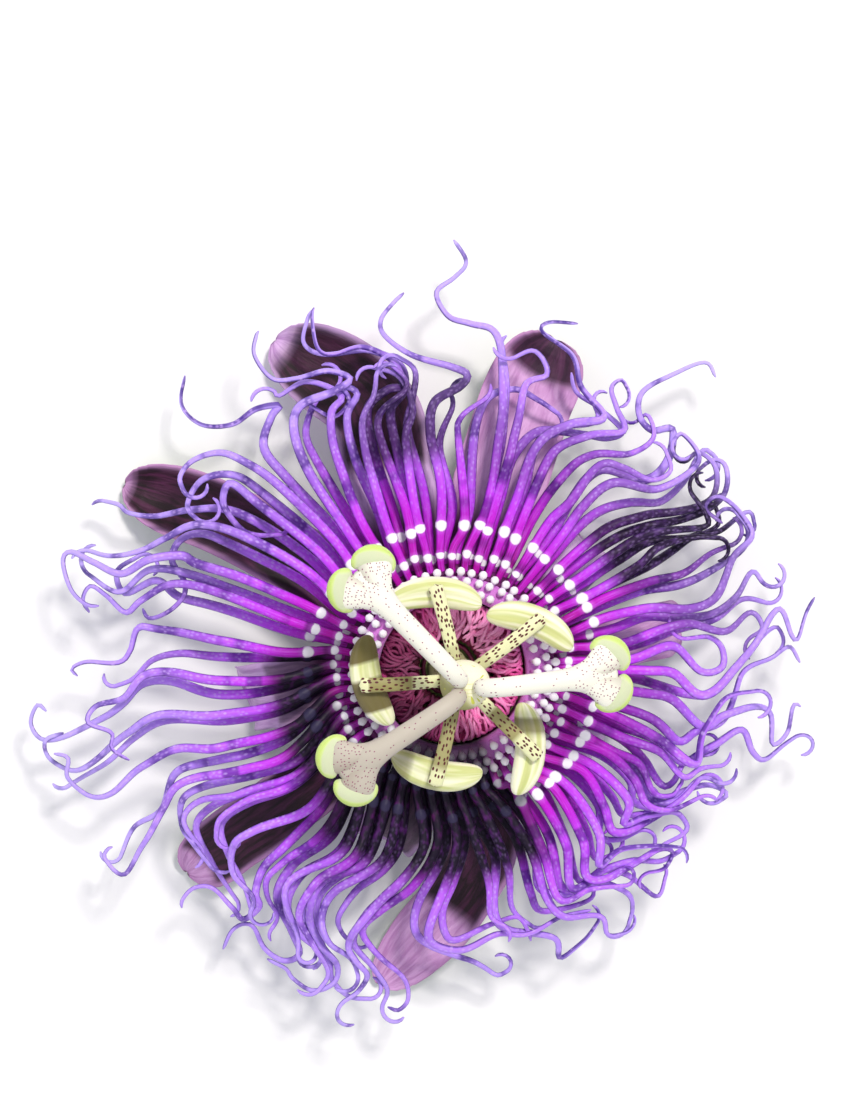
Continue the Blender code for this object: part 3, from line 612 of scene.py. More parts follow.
FACTOR, MIX_A, MIX_B = 0, 6, 7


def paint(code):
    """An sRGB hex colour as linear RGBA."""
    parts = [int(code[i : i + 2], 16) / 255 for i in (1, 3, 5)]
    return (*[c / 12.92 if c <= 0.04045 else ((c + 0.055) / 1.055) ** 2.4 for c in parts], 1.0)


def feed(tree, value, socket):
    """Gives a socket a plain value, an output, or the first output that a node has in use."""
    if isinstance(value, bpy.types.Node):
        value = next(output for output in value.outputs if output.enabled)
    if isinstance(value, bpy.types.NodeSocket):
        tree.links.new(value, socket)
    else:
        socket.default_value = value


def node(tree, kind, sockets=None, stops=(), **settings):
    """Adds a shader node with its settings, what its sockets are fed, and a colour ramp's stops as
    (place, hex colour)."""
    made = tree.nodes.new("ShaderNode" + kind)
    for name, value in settings.items():
        setattr(made, name, value)
    for socket, value in (sockets or {}).items():
        feed(tree, value, made.inputs[socket])
    if stops:
        ramp = made.color_ramp.elements
        ramp[0].position, ramp[0].color = stops[0][0], paint(stops[0][1])
        ramp[1].position, ramp[1].color = stops[-1][0], paint(stops[-1][1])
        for place, colour in stops[1:-1]:
            ramp.new(place).color = paint(colour)
    return made


def skin(name, labels, roughness, sheen=0.0, coat=0.0, subsurface=0.0, specular=0.4):
    """A living plant skin: water-filled cells under a thin cuticle, IOR near 1.4. Gives the material,
    its nodes, and the numbers with these names that its pieces carry at each point."""
    made = bpy.data.materials.new(name)
    made.use_nodes = True
    tree = made.node_tree
    settings = {
        "Roughness": roughness,
        "IOR": 1.42,
        "Metallic": 0.0,
        "Specular IOR Level": specular,
        "Sheen Weight": sheen,
        "Sheen Roughness": 0.4,
        "Coat Weight": coat,
        "Coat Roughness": 0.3,
        "Subsurface Weight": subsurface,
        "Subsurface Radius": (0.0012, 0.0006, 0.0010),
        "Subsurface Scale": 1.0,
    }
    for socket, value in settings.items():
        tree.nodes["Principled BSDF"].inputs[socket].default_value = value
    return made, tree, {
        label: node(tree, "Attribute", attribute_name=label).outputs["Fac"] for label in labels
    }


def dress(made, colour, coats, height, strength, depth):
    """Gives a skin its ground colour, the coats of colour over it, each as (how much of it shows,
    colour), and a relief of this depth in metres."""
    tree = made.node_tree
    for shown, coat in coats:
        colour = node(tree, "Mix", {FACTOR: shown, MIX_A: colour, MIX_B: coat}, data_type="RGBA")
    relief = node(tree, "Bump", {"Height": height, "Strength": strength, "Distance": depth})
    feed(tree, colour, tree.nodes["Principled BSDF"].inputs["Base Color"])
    feed(tree, relief, tree.nodes["Principled BSDF"].inputs["Normal"])
    return made


def corona_filament():
    """Crimped corona filament: a waxy, water-filled thread. Deep magenta at the root, violet in the middle
    and lilac at the tip, with white beads near the root and pale flecks further out. It carries painted
    shade on its flanks and, nearly black, where the corona lies in shadow, and painted highlights in long
    pale streaks."""
    labels = ("along", "across", "top", "reach", "strand", "stain", "bead")
    made, tree, value = skin("crimped_corona_filament", labels, 0.5, specular=0.3)
    # The bands of colour lie up to 7 mm further in on one thread than on the next. Mottling of less
    # than 0.2 mm, which is 260 repeats over a lock of about 40 mm, softens their edges.
    blotch = node(tree, "TexNoise", {"Scale": 260.0, "Detail": 3.0, "Roughness": 0.6})
    drift = node(tree, "Math", {0: value["strand"], 1: blotch}, operation="ADD")
    shifted = node(tree, "Math", {0: drift, 1: 7.0, 2: value["reach"]}, operation="MULTIPLY_ADD")
    reach = node(tree, "Math", {0: shifted, 1: 64.0}, operation="DIVIDE")
    hue = node(tree, "ValToRGB", {"Fac": reach}, stops=[
        (0.22, "#8A0478"), (0.32, "#B00CA0"), (0.42, "#BC16CC"), (0.5, "#BC40EE"),
        (0.62, "#B46CF5"), (0.76, "#B08CF0"), (0.95, "#BAAAF2"),
    ])
    # Flecks of pale cells about 0.8 mm apart along the thread and 0.5 mm across it, each as bright as
    # its lot, and none near the root. Real cells are finer than shows, so a fleck stands for many.
    across = node(tree, "Math", {0: value["across"], 1: 1.3}, operation="MULTIPLY")
    length = node(tree, "Math", {0: value["along"], 1: 1.3}, operation="MULTIPLY")
    seed = node(tree, "Math", {0: value["strand"], 1: 90.0}, operation="MULTIPLY")
    seeded = node(tree, "Math", {0: length, 1: seed}, operation="ADD")
    grid = node(tree, "CombineXYZ", {0: seeded, 1: across, 2: 0.0})
    cells = node(tree, "TexVoronoi", {"Vector": grid, "Scale": 1.0, "Randomness": 1.0},
                 voronoi_dimensions="2D")
    fleck = node(tree, "ValToRGB", {"Fac": cells}, stops=[(0.14, "#FFFFFF"), (0.42, "#000000")])
    lot = node(tree, "SeparateColor", {0: cells.outputs["Color"]})
    outer = node(tree, "ValToRGB", {"Fac": reach}, stops=[(0.42, "#000000"), (0.6, "#D8D8D8")])
    pale = node(tree, "Math", {0: fleck, 1: lot}, operation="MULTIPLY")
    sound = node(tree, "Math", {0: value["stain"], 1: -0.75, 2: 1.0}, operation="MULTIPLY_ADD")
    sparse = node(tree, "Math", {0: pale, 1: sound}, operation="MULTIPLY")
    shown = node(tree, "Math", {0: sparse, 1: outer}, operation="MULTIPLY")
    # Long pale streaks, painted highlights, run with the thread for a few millimetres at a time.
    thin = node(tree, "Math", {0: value["across"], 1: 1.6}, operation="MULTIPLY")
    slow = node(tree, "Math", {0: seeded, 1: 0.12}, operation="MULTIPLY")
    fibre = node(tree, "CombineXYZ", {0: slow, 1: thin, 2: 0.0})
    streaks = node(tree, "TexNoise", {"Vector": fibre, "Scale": 1.7, "Detail": 2.0})
    light = node(tree, "ValToRGB", {"Fac": streaks}, stops=[(0.5, "#000000"), (0.62, "#A4A4A4")])
    paler = node(tree, "ValToRGB", {"Fac": reach}, stops=[(0.45, "#CE60F8"), (0.75, "#C4ACFA")])
    # Here and there a stretch of about 4 mm is much deeper in colour.
    depth = node(tree, "ValToRGB", {"Fac": reach}, stops=[(0.32, "#5A0652"), (0.5, "#35107E")])
    lane = node(tree, "CombineXYZ", {0: slow, 1: 0.3, 2: 0.7})
    stretch = node(tree, "TexNoise", {"Vector": lane, "Scale": 1.9, "Detail": 1.0})
    deep = node(tree, "ValToRGB", {"Fac": stretch}, stops=[(0.35, "#D4D4D4"), (0.44, "#000000")])
    # Painted shade: the flanks are darker than the ridge, by how far each point faces up.
    painted_flank_shade = node(tree, "ValToRGB", {"Fac": value["top"]}, stops=[(0.0, "#DCDCDC"), (0.46, "#000000")])
    # The darkening, mostly painted shade and in part the filament's own dark banding, is nearly black, and a
    # little thinner in patches of about 1.4 mm.
    streak = node(tree, "TexNoise", {"Vector": grid, "Scale": 0.55, "Detail": 2.0})
    patch = node(tree, "ValToRGB", {"Fac": streak}, stops=[(0.3, "#F0F0F0"), (0.5, "#FFFFFF")])
    dark = node(tree, "Math", {0: value["stain"], 1: patch}, operation="MULTIPLY")
    # A bead is an oval, so it is measured lengthwise and across at once. Grain of 0.04 mm, 1100 repeats
    # over a lock, softens its outline.
    rough = node(tree, "TexNoise", {"Scale": 1100.0, "Detail": 1.0})
    lengthwise = node(tree, "Math", {0: rough, 1: 0.7, 2: value["bead"]}, operation="MULTIPLY_ADD")
    centred = node(tree, "Math", {0: lengthwise, 1: 0.35}, operation="SUBTRACT")
    place = node(tree, "CombineXYZ", {0: centred, 1: value["across"], 2: 0.0})
    away = node(tree, "VectorMath", {0: place}, operation="LENGTH")
    scaled = node(tree, "Math", {0: away, 1: 0.25}, operation="MULTIPLY")
    ring = node(tree, "ValToRGB", {"Fac": scaled}, stops=[(0.3, "#909090"), (0.55, "#000000")])
    spot = node(tree, "ValToRGB", {"Fac": scaled}, stops=[(0.24, "#FFFFFF"), (0.3, "#000000")])
    clean = node(tree, "Math", {0: 1.0, 1: value["stain"]}, operation="SUBTRACT")
    glow = node(tree, "Math", {0: ring, 1: clean}, operation="MULTIPLY")
    # Where a filament is darkened, its beads are slate blue instead of white: painted shade on the beads, as
    # on the filament.
    bead = node(tree, "ValToRGB", {"Fac": value["stain"]}, stops=[(0.25, "#FBF7FF"), (0.85, "#2C2644")])
    coats = [
        (light, paler), (deep, depth), (painted_flank_shade, depth), (dark, paint("#12041E")),
        (shown, paint("#CDACF6")), (glow, paint("#DA7CF8")), (spot, bead),
    ]
    return dress(made, hue, coats, cells, 0.3, 0.0001)


def blade_skin(name, light, mid, rim, inside, back):
    """Sepal or petal tissue: thin, matt and faintly velvety, with fine lengthwise veins, maroon painted
    shade inside its channel, painted shade at its root under the corona, and a paler rim; the back is its own
    colour."""
    labels = ("across", "along", "back", "stain", "strand", "root")
    made, tree, value = skin(name, labels, 0.55, sheen=0.06)
    # Clouds of colour about 5 mm long and 1 mm wide, which run with the blade.
    wide = node(tree, "Math", {0: value["across"], 1: 6.0}, operation="MULTIPLY")
    far = node(tree, "Math", {0: value["along"], 1: 0.22}, operation="MULTIPLY")
    seed = node(tree, "Math", {0: value["strand"], 1: 60.0}, operation="MULTIPLY")
    grid = node(tree, "CombineXYZ", {0: far, 1: wide, 2: seed})
    cloud = node(tree, "TexNoise", {"Vector": grid, "Scale": 0.9, "Detail": 4.0, "Distortion": 0.6})
    ground = node(tree, "ValToRGB", {"Fac": cloud}, stops=[(0.32, mid), (0.62, light)])
    # Veins 0.5 mm apart across a blade of about 9 mm.
    veins = node(tree, "TexNoise", {"Vector": grid, "Scale": 3.2, "Detail": 2.0, "Distortion": 0.2})
    vein = node(tree, "ValToRGB", {"Fac": veins}, stops=[(0.5, "#000000"), (0.66, "#6A6A6A")])
    edge = node(tree, "Math", {0: value["across"]}, operation="ABSOLUTE")
    lip = node(tree, "ValToRGB", {"Fac": edge}, stops=[(0.86, "#000000"), (0.97, "#D0D0D0")])
    channel_shade = node(tree, "ValToRGB", {"Fac": cloud}, stops=[(0.4, inside[0]), (0.7, inside[1])])
    # Over the ground: veins, painted shade in the channel, the rim, painted shade at the root and the back.
    coats = [
        (vein, paint(mid)), (value["stain"], channel_shade), (lip, paint(rim)),
        (value["root"], paint("#520A4A")), (value["back"], paint(back)),
    ]
    return dress(made, ground, coats, veins, 0.45, 0.00025)


def club_skin():
    """Short corona filament: purple stalk and a swollen head of white, air-filled cells."""
    made, tree, value = skin("white_tipped_short_filament", ("share", "strand", "stain"), 0.42, sheen=0.1)
    # Grain as fine as the real cells, 0.02 mm, which is 1400 repeats over a crown of 28 mm. It is too
    # fine to show as grain, and softens the change from stalk to head.
    speck = node(tree, "TexNoise", {"Scale": 1400.0, "Detail": 2.0})
    jitter = node(tree, "Math", {0: value["strand"], 1: 0.12, 2: value["share"]}, operation="MULTIPLY_ADD")
    mottled = node(tree, "Math", {0: speck, 1: 0.5, 2: jitter}, operation="MULTIPLY_ADD")
    hue = node(tree, "ValToRGB", {"Fac": mottled}, stops=[
        (0.3, "#8C1C90"), (0.7, "#B63CB4"), (0.84, "#D98AE0"), (0.98, "#E4B4EE"), (1.0, "#FBF6FF"),
    ])
    # Painted shade, from the value that the pieces carry.
    shade = node(tree, "Math", {0: value["stain"], 1: 0.97}, operation="MULTIPLY")
    return dress(made, hue, [(shade, paint("#2A1838"))], speck, 0.3, 0.0001)


def fringe_skin(name, deep, middle, bright, pale):
    """Inner fringe and operculum: thin pink membranes, wet-looking and mottled, darkened to maroon by painted
    shade, and paler where they carry painted light.
    """
    made, tree, value = skin(name, ("share", "stain", "strand", "blush"), 0.4, coat=0.05)
    # Mottling as fine as the real cells, 0.015 mm, which is 1300 repeats over a fringe of 19 mm. It is
    # too fine to show as patches, and keeps the membranes from looking like plain plastic.
    blotch = node(tree, "TexNoise", {"Scale": 1300.0, "Detail": 3.0, "Distortion": 1.2})
    mixed = node(tree, "Math", {0: value["share"], 1: 0.12, 2: blotch}, operation="MULTIPLY_ADD")
    varied = node(tree, "Math", {0: value["strand"], 1: 0.16, 2: mixed}, operation="MULTIPLY_ADD")
    # The pieces' painted light, and the comb, make them paler.
    blushed = node(tree, "Math", {0: value["blush"], 1: 0.2, 2: varied}, operation="MULTIPLY_ADD")
    hue = node(tree, "ValToRGB", {"Fac": blushed}, stops=[
        (0.46, deep), (0.6, middle), (0.74, bright), (0.88, pale),
    ])
    return dress(made, hue, [(value["stain"], paint("#30060F"))], blotch, 0.4, 0.0002)


def speckled_skin(name, ground, shade, spot, pitch, size, share_spotted, roughness):
    """Smooth pale tissue with oblong coloured spots that lie along the piece, mixed towards the shade colour
    where a piece carries painted shade; on the column that is an even tint. The pitch of the spots is
    in millimetres along and across; their size is a share of it."""
    labels = ("along", "wide", "strand", "stain", "spots")
    made, tree, value = skin(name, labels, roughness, coat=0.04, subsurface=0.04)
    length = node(tree, "Math", {0: value["along"], 1: 1.0 / pitch[0]}, operation="MULTIPLY")
    width = node(tree, "Math", {0: value["wide"], 1: 1.0 / pitch[1]}, operation="MULTIPLY")
    seeded = node(tree, "Math", {0: value["strand"], 1: 70.0, 2: length}, operation="MULTIPLY_ADD")
    grid = node(tree, "CombineXYZ", {0: seeded, 1: width, 2: 0.0})
    cells = node(tree, "TexVoronoi", {"Vector": grid, "Scale": 1.0, "Randomness": 0.75},
                 voronoi_dimensions="2D")
    lot = node(tree, "SeparateColor", {0: cells.outputs["Color"]})
    some = node(tree, "Math", {0: value["spots"], 1: share_spotted}, operation="MULTIPLY")
    chosen = node(tree, "Math", {0: lot, 1: some}, operation="LESS_THAN")
    near = node(tree, "ValToRGB", {"Fac": cells}, stops=[(size * 0.75, "#FFFFFF"), (size, "#000000")])
    shown = node(tree, "Math", {0: near, 1: chosen}, operation="MULTIPLY")
    # Shading of 0.05 mm or less, 420 repeats over pieces of up to 20 mm, which evens out to a tint.
    cloud = node(tree, "TexNoise", {"Scale": 420.0, "Detail": 3.0})
    base = node(tree, "ValToRGB", {"Fac": cloud}, stops=[(0.0, shade), (0.5, ground)])
    # Grain finer than the real cells, 2600 repeats over the piece, which only dulls the shine.
    grain = node(tree, "TexNoise", {"Scale": 2600.0, "Detail": 2.0})
    coats = [(value["stain"], paint(shade)), (shown, paint(spot))]
    return dress(made, base, coats, grain, 0.2, 0.0001)


def anther_skin():
    """Anther: two long pollen sacs with a dry, faintly grainy wall, banded lengthwise in cream and
    pale yellow-green."""
    labels = ("across", "along", "strand", "stain")
    made, tree, value = skin("anther_wall", labels, 0.55, sheen=0.15, subsurface=0.1)
    # Bands about 1 mm wide that run for most of the sac.
    far = node(tree, "Math", {0: value["along"], 1: 0.12}, operation="MULTIPLY")
    wide = node(tree, "Math", {0: value["across"], 1: 2.6}, operation="MULTIPLY")
    seed = node(tree, "Math", {0: value["strand"], 1: 40.0}, operation="MULTIPLY")
    grid = node(tree, "CombineXYZ", {0: far, 1: wide, 2: seed})
    bands = node(tree, "TexNoise", {"Vector": grid, "Scale": 0.9, "Detail": 1.0, "Distortion": 0.3})
    hue = node(tree, "ValToRGB", {"Fac": bands}, stops=[
        (0.34, "#D6DC94"), (0.45, "#E8EDB5"), (0.55, "#FBFBD8"), (0.7, "#FEFDE6"),
    ])
    groove = node(tree, "Math", {0: value["across"]}, operation="ABSOLUTE")
    seam = node(tree, "ValToRGB", {"Fac": groove}, stops=[(0.05, "#A0A0A0"), (0.2, "#000000")])
    # Grain finer than the wall's cells, 2200 repeats over the anther, which keeps it looking dry.
    grain = node(tree, "TexNoise", {"Scale": 2200.0, "Detail": 3.0})
    # Painted cast shadows darken the anther to olive.
    coats = [(seam, paint("#C3CC7E")), (value["stain"], paint("#665A2A"))]
    return dress(made, hue, coats, grain, 0.35, 0.00015)


def stigma_skin():
    """Stigma: velvety with papillae, greyish green inside and yellow-green along its outer rim."""
    made, tree, value = skin("velvet_stigma", ("rim",), 0.6, sheen=0.4, subsurface=0.1)
    # Mottling too fine to show, 700 repeats over the lobes, softens the edge of the rim.
    cloud = node(tree, "TexNoise", {"Scale": 700.0, "Detail": 3.0})
    shifted = node(tree, "Math", {0: cloud, 1: 0.3, 2: value["rim"]}, operation="MULTIPLY_ADD")
    hue = node(tree, "ValToRGB", {"Fac": shifted}, stops=[
        (0.1, "#7E8660"), (0.4, "#C0C8A4"), (0.62, "#DCE4BE"), (0.72, "#DCEE9C"), (0.9, "#CFEA6C"),
    ])
    # Papillae finer than real ones, 3000 over the piece, which do not show singly but keep it matt.
    papillae = node(tree, "TexVoronoi", {"Scale": 3000.0})
    return dress(made, hue, [], papillae, 0.5, 0.00012)


def green_skin(name, light, dark, roughness):
    """Stalk, bract and receptacle: waxy green with fine lengthwise ribs; the cut shows pale pith."""
    made, tree, value = skin(name, ("along", "across", "cut"), roughness, sheen=0.3)
    # Ribs about 0.4 mm apart and 1.6 mm long on a stalk of 3 mm.
    far = node(tree, "Math", {0: value["along"], 1: 0.35}, operation="MULTIPLY")
    wide = node(tree, "Math", {0: value["across"], 1: 5.0}, operation="MULTIPLY")
    grid = node(tree, "CombineXYZ", {0: far, 1: wide, 2: 0.0})
    ribs = node(tree, "TexNoise", {"Vector": grid, "Scale": 1.8, "Detail": 4.0})
    hue = node(tree, "ValToRGB", {"Fac": ribs}, stops=[(0.35, dark), (0.65, light)])
    return dress(made, hue, [(value["cut"], paint("#D9DDA8"))], ribs, 0.4, 0.0003)


# ---------------------------------------------------------------- corona


def stain_at(heading, reach):
    """How dark a filament is painted at this heading and distance from the axis: mostly painted shade, in
    part its own dark banding.
    """
    found = 0.0
    for first, last, start, end, strength in SHADES_AND_STAINS:
        share = between(heading % 360.0, first, last, DARK_SOFT_HEADING)
        found = max(found, share * between(reach, start, end, DARK_SOFT_REACH) * strength)
    return found


def tier_height(tier, radius):
    """Height of a tier's filaments at a distance from the axis."""
    reach = max(0.0, (radius - tier["outer"]) / FULL_REACH)
    arch = math.sin(math.pi * min(1.0, reach * 1.4))
    return (tier["low"] + tier["high"]) / 2 + tier["rise"] * arch - tier["fall"] * reach**1.4


def follower(first, second, dice):
    """A filament midway between two neighbours: it runs with both and ends a little short of them."""
    flats = [smooth([Vector((x, y, 0.0)) for x, y in route], FOLLOWER_POINTS) for _, route in (first, second)]
    kept = dice.choice((4, 5))
    route = []
    for near, far in list(zip(*flats, strict=True))[:kept]:
        point = near.lerp(far, 0.5)
        stray = [dice.uniform(-FOLLOWER_STRAY, FOLLOWER_STRAY) for _ in "xy"]
        route.append((point.x + stray[0], point.y + stray[1]))
    return ((first[0] + half_turn(second[0] - first[0]) / 2) % 360.0, route)


def all_strands(dice):
    """The routes above with followers in the wide gaps, in order of heading."""
    known = sorted(STRANDS, key=lambda strand: strand[0] % 360)
    filled = []
    for i, strand in enumerate(known):
        after = known[(i + 1) % len(known)]
        filled.append(strand)
        if (after[0] - strand[0]) % 360.0 >= WIDEST_GAP:
            filled.append(follower(strand, after, dice))
    return filled


def hook(flat, turn, radius):
    """Goes on from the end of a flat path in a tightening curl of `turn` degrees."""
    way = (flat[-1] - flat[-3]).normalized()
    point = flat[-1]
    made = []
    left = math.radians(abs(turn))
    while left > 0.0:
        bend = math.copysign(STRAND_STEP / radius, turn)
        c, s = math.cos(bend), math.sin(bend)
        way = Vector((way.x * c - way.y * s, way.x * s + way.y * c, 0.0))
        point = point + way * STRAND_STEP
        made.append(point)
        left -= abs(bend)
        radius = max(TIGHTEST_HOOK, radius * 0.97)
    return made


def add_strand(shape, root_heading, route, tier, level, dice):
    """One long filament: flat route, then its heights, widths, beads and stains."""
    root = heading_vector(root_heading)
    flat = [root * ROOT_RADIUS, root * STRAIGHT_RADIUS] + [Vector((x, y, 0.0)) for x, y in route]
    flat = spaced(smooth(flat, 14 * len(flat)), STRAND_STEP)
    turn, radius = dice.choice((-1, 1)) * dice.uniform(40, 190), dice.uniform(1.3, 2.4)
    if len(route) < HOOKLESS_POINTS:
        flat += hook(flat, turn, radius)
    phase = dice.uniform(0.0, 2 * math.pi)
    wave_length = dice.uniform(7.0, 11.0)
    droop = dice.uniform(-1.6, 1.0)
    beads = []
    for row, half, likely in UPPER_BEADS if tier is UPPER_TIER else LOWER_BEADS:
        if dice.random() < likely:
            beads.append((row + dice.uniform(-0.35, 0.35), half * dice.uniform(0.8, 1.2)))
    path, widths, rows = [], [], {"reach": [], "stain": [], "bead": []}
    last = len(flat) - 1
    for i, point in enumerate(flat):
        along = i * STRAND_STEP
        share = i / last
        reach = point.length
        free = ease(along, 8.0, 22.0)
        height = tier_height(tier, reach) + level * free + droop * ease(share, 0.5, 1.0)
        height += CRIMP * free * math.sin(2 * math.pi * along / wave_length + phase)
        path.append(Vector((point.x, point.y, height)))
        bead = FAR_FROM_BEAD
        if share < 0.5:
            bead = min([bead] + [abs(reach - row) / half for row, half in beads])
        fill = STRAND_ROOT + (1.0 - STRAND_ROOT) * ease(along, 0.0, 9.0)
        taper = 1.0 - (1.0 - STRAND_TIP / STRAND_WIDTH) * ease(share, 0.35, 1.0)
        swell = 1.0 + BEAD_SWELL * (1.0 - ease(bead, 0.5, 1.3))
        widths.append(STRAND_WIDTH * fill * taper * blunt(i, last - 2, 2.2, 0.02) * swell)
        rows["reach"].append(reach)
        rows["stain"].append(stain_at(root_heading, reach))
        rows["bead"].append(bead)
    heights = [width * STRAND_FLATNESS for width in widths]
    sweep(shape, path, widths, heights, STRAND_SIDES, UP.cross(root), rows=rows, strand=dice.random())


def add_collar(shape, heading, tier):
    """The curved strip that a lock's filaments grow from, slimmer at both ends."""
    half = LOCK_PITCH / 2 - COLLAR_GAP
    middle = (tier["inner"] + tier["outer"]) / 2
    height = (tier["low"] + tier["high"]) / 2
    places = shares(COLLAR_STATIONS)
    arc = [heading_vector(heading - half + 2 * half * place) * middle + UP * height for place in places]
    sizes = [COLLAR_END if place in (0.0, 1.0) else 1.0 for place in places]
    wide = [(tier["outer"] - tier["inner"]) * size for size in sizes]
    thick = [(tier["high"] - tier["low"]) * size for size in sizes]
    side = heading_vector(heading - half)
    # The collar is darkened a little: painted shade under the filaments.
    sweep(shape, arc, wide, thick, 10, side, reach=12.0, stain=0.35, bead=FAR_FROM_BEAD)


def add_corona(skin_made):
    """Two tiers of locks. Roots are spread nearly evenly, and the filaments go to the tiers in turn."""
    dice = random.Random(11)
    strands = all_strands(dice)
    tiers = (("upper", UPPER_TIER, 0.0), ("lower", LOWER_TIER, LOCK_PITCH / 2))
    locks = {}
    for tier_name, tier, first in tiers:
        for number in range(LOCKS_PER_TIER):
            locks[tier_name, number] = Shape()
            add_collar(locks[tier_name, number], first + number * LOCK_PITCH, tier)
    even = [360.0 * i / len(strands) for i in range(len(strands))]
    start = sum(half_turn(heading - place) for (heading, _), place in zip(strands, even, strict=True))
    start /= len(strands)
    for i, (heading, route) in enumerate(strands):
        tier_name, tier, first = tiers[i % 2]
        root_heading = even[i] + start + 0.35 * half_turn(heading - even[i] - start)
        number = round(((root_heading - first) % 360.0) / LOCK_PITCH) % LOCKS_PER_TIER
        add_strand(locks[tier_name, number], root_heading, route, tier, LEVELS[(i // 2) % 3], dice)
    for (tier_name, number), shape in locks.items():
        name = f"corona_{tier_name}_lock_{number + 1:02d}"
        shape.piece(f"{name}_filaments", skin_made, "corona_long", name)


def threads(rows, stray, stretch, dice):
    """The threads of these rows: heading, how far out its row starts, and path. Each has its own small
    lean and length."""
    for count, first, route in rows:
        for i in range(count):
            heading = first + 360.0 * i / count + dice.uniform(-stray, stray)
            length = dice.uniform(*stretch)
            flat = [Vector((distance, 0.0, height)) for distance, height in route]
            grown = [flat[0] + (point - flat[0]) * length for point in flat]
            path = smooth(in_plane(heading, [(point.x, point.z) for point in grown]), THREAD_STATIONS)
            yield heading, route[0][0], path


def club_stain(heading):
    """Painted shade: the short filaments are darkened below, and a little at the left."""
    turn = heading % 360.0
    return max(0.95 * between(turn, 232.0, 288.0, 12.0), 0.3 * between(turn, 165.0, 222.0, 12.0))


def add_short_filaments(skin_made):
    dice = random.Random(23)
    shape = Shape()
    turned(shape, CLUB_COLLAR, 144, strand=0.5)
    shape.values["share"] = [CLUB_GROUND] * len(shape.points)
    shape.values["stain"] = [club_stain(360.0 * turn) for turn in shape.values["heading"]]
    for heading, _, path in threads(CLUB_ROWS, 0.8, (0.92, 1.06), dice):
        side = UP.cross(heading_vector(heading))
        stain = club_stain(heading)
        sweep(shape, path, CLUB_WIDTHS, CLUB_WIDTHS, 7, side, strand=dice.random(), stain=stain)
    shape.piece("short_white_tipped_filaments", skin_made, "corona_short", "corona_short_filaments")


def fringe_shade(heading, reach):
    """Painted shade: the fringe is darkened to maroon on its left and lower left, and where it meets the
    column deep in the cup.
    """
    left = 0.75 * between(heading % 360.0, 150.0, 240.0, 24.0)
    return max(left, 0.25 * (1.0 - ease(reach, 6.6, 8.0)))


def fringe_blush(heading):
    """Painted light: it is palest towards the upper right, its lit side, and also pale in a comb at the lower
    right.
    """
    turn = heading % 360.0
    return max(between(turn, 20.0, 95.0, 25.0), 0.6 * between(turn, 275.0, 328.0, 14.0))


def operculum_pleat(heading):
    return OPERCULUM_DEPTH * math.sin(math.radians(heading) * OPERCULUM_PLEATS)


def add_nectary(fringe, membrane):
    dice = random.Random(31)
    shape = Shape()
    # The collar under the threads carries a little painted shade.
    turned(shape, FRINGE_COLLAR, 96, stain=0.25)
    for heading, reach, path in threads(FRINGE_ROWS, 1.2, (0.72, 1.05), dice):
        side = UP.cross(heading_vector(heading))
        lean = dice.uniform(-FRINGE_LEAN, FRINGE_LEAN)
        wave = dice.uniform(-FRINGE_WAVE, FRINGE_WAVE)
        path = [point + side * (lean * j / 8 + wave * math.sin(j * 0.9)) for j, point in enumerate(path)]
        sweep(shape, path, FRINGE_WIDTHS, FRINGE_WIDTHS, 6, side, strand=dice.random(),
              stain=fringe_shade(heading, reach), blush=fringe_blush(heading))
    shape.piece("inner_fringe", fringe, "inner_fringe", "corona_inner_fringe")

    shape = Shape()
    turned(shape, OPERCULUM_PROFILE, 204, pleat=operculum_pleat)
    # Painted shade on the operculum, as on the fringe beside it, and at least 0.2 all round.
    shape.values["stain"] = [max(0.2, fringe_shade(360.0 * turn, 9.0)) for turn in shape.values["heading"]]
    shape.piece("operculum_pleats", membrane, "nectary", "operculum")
    shape = Shape()
    turned(shape, LIMEN_PROFILE, 72, stain=0.6)
    shape.piece("limen_rim", membrane, "nectary", "limen")


# ---------------------------------------------------------------- stamens and pistil


def column_rib(heading):
    return 0.035 * math.cos(math.radians(heading) * 5)


def add_column(skin_made):
    shape = Shape()
    capped(shape, fine(COLUMN_PROFILE, 26), 48, column_rib, spots=0.7, stain=0.2)
    shape.values["wide"] = [COLUMN_WRAP * value for value in shape.values["across"]]
    shape.piece("column", skin_made, "column", "androgynophore")


def add_stamens(strap_skin, anther_wall):
    dice = random.Random(5)
    places = shares(STRAP_STATIONS)
    thick = [STRAP_THICKNESS * (1.0 if place < 0.9 else 0.9) for place in places]
    slim, grown = STRAP_GROWTH
    ends = [blunt(place, STRAP_BLUNT_FROM, 0.095, 0.08) for place in places]
    widths = [STRAP_WIDTH * (slim + grown * place) * end for place, end in zip(places, ends, strict=True)]
    for number, (heading, reach, anther_heading, strap_shadow, bands) in enumerate(STAMENS, start=1):
        out = heading_vector(heading)
        route = [(2.7, 25.7), (5.0, 26.3), (9.0, 26.75), (reach - 0.8, 26.5), (reach + 0.2, 26.25)]
        path = smooth(in_plane(heading, route), STRAP_STATIONS)
        start, end, shadow_depth = strap_shadow
        # Painted cast shadow across the strap.
        rows = {"stain": [shadow_depth * between(place, start, end, SHADOW_SOFT) for place in places]}
        shape = Shape()
        side = UP.cross(out)
        sweep(shape, path, widths, thick, STRAP_SIDES, side, rows=rows, strand=dice.random(), spots=1.0)
        shape.values["wide"] = [value * STRAP_WIDTH / 2 for value in shape.values["across"]]
        shape.piece(f"stamen_strap_{number}", strap_skin, "column", f"stamen_filament_{number}")
        add_anther(number, out * (reach - 0.9), anther_heading, bands, anther_wall, dice)


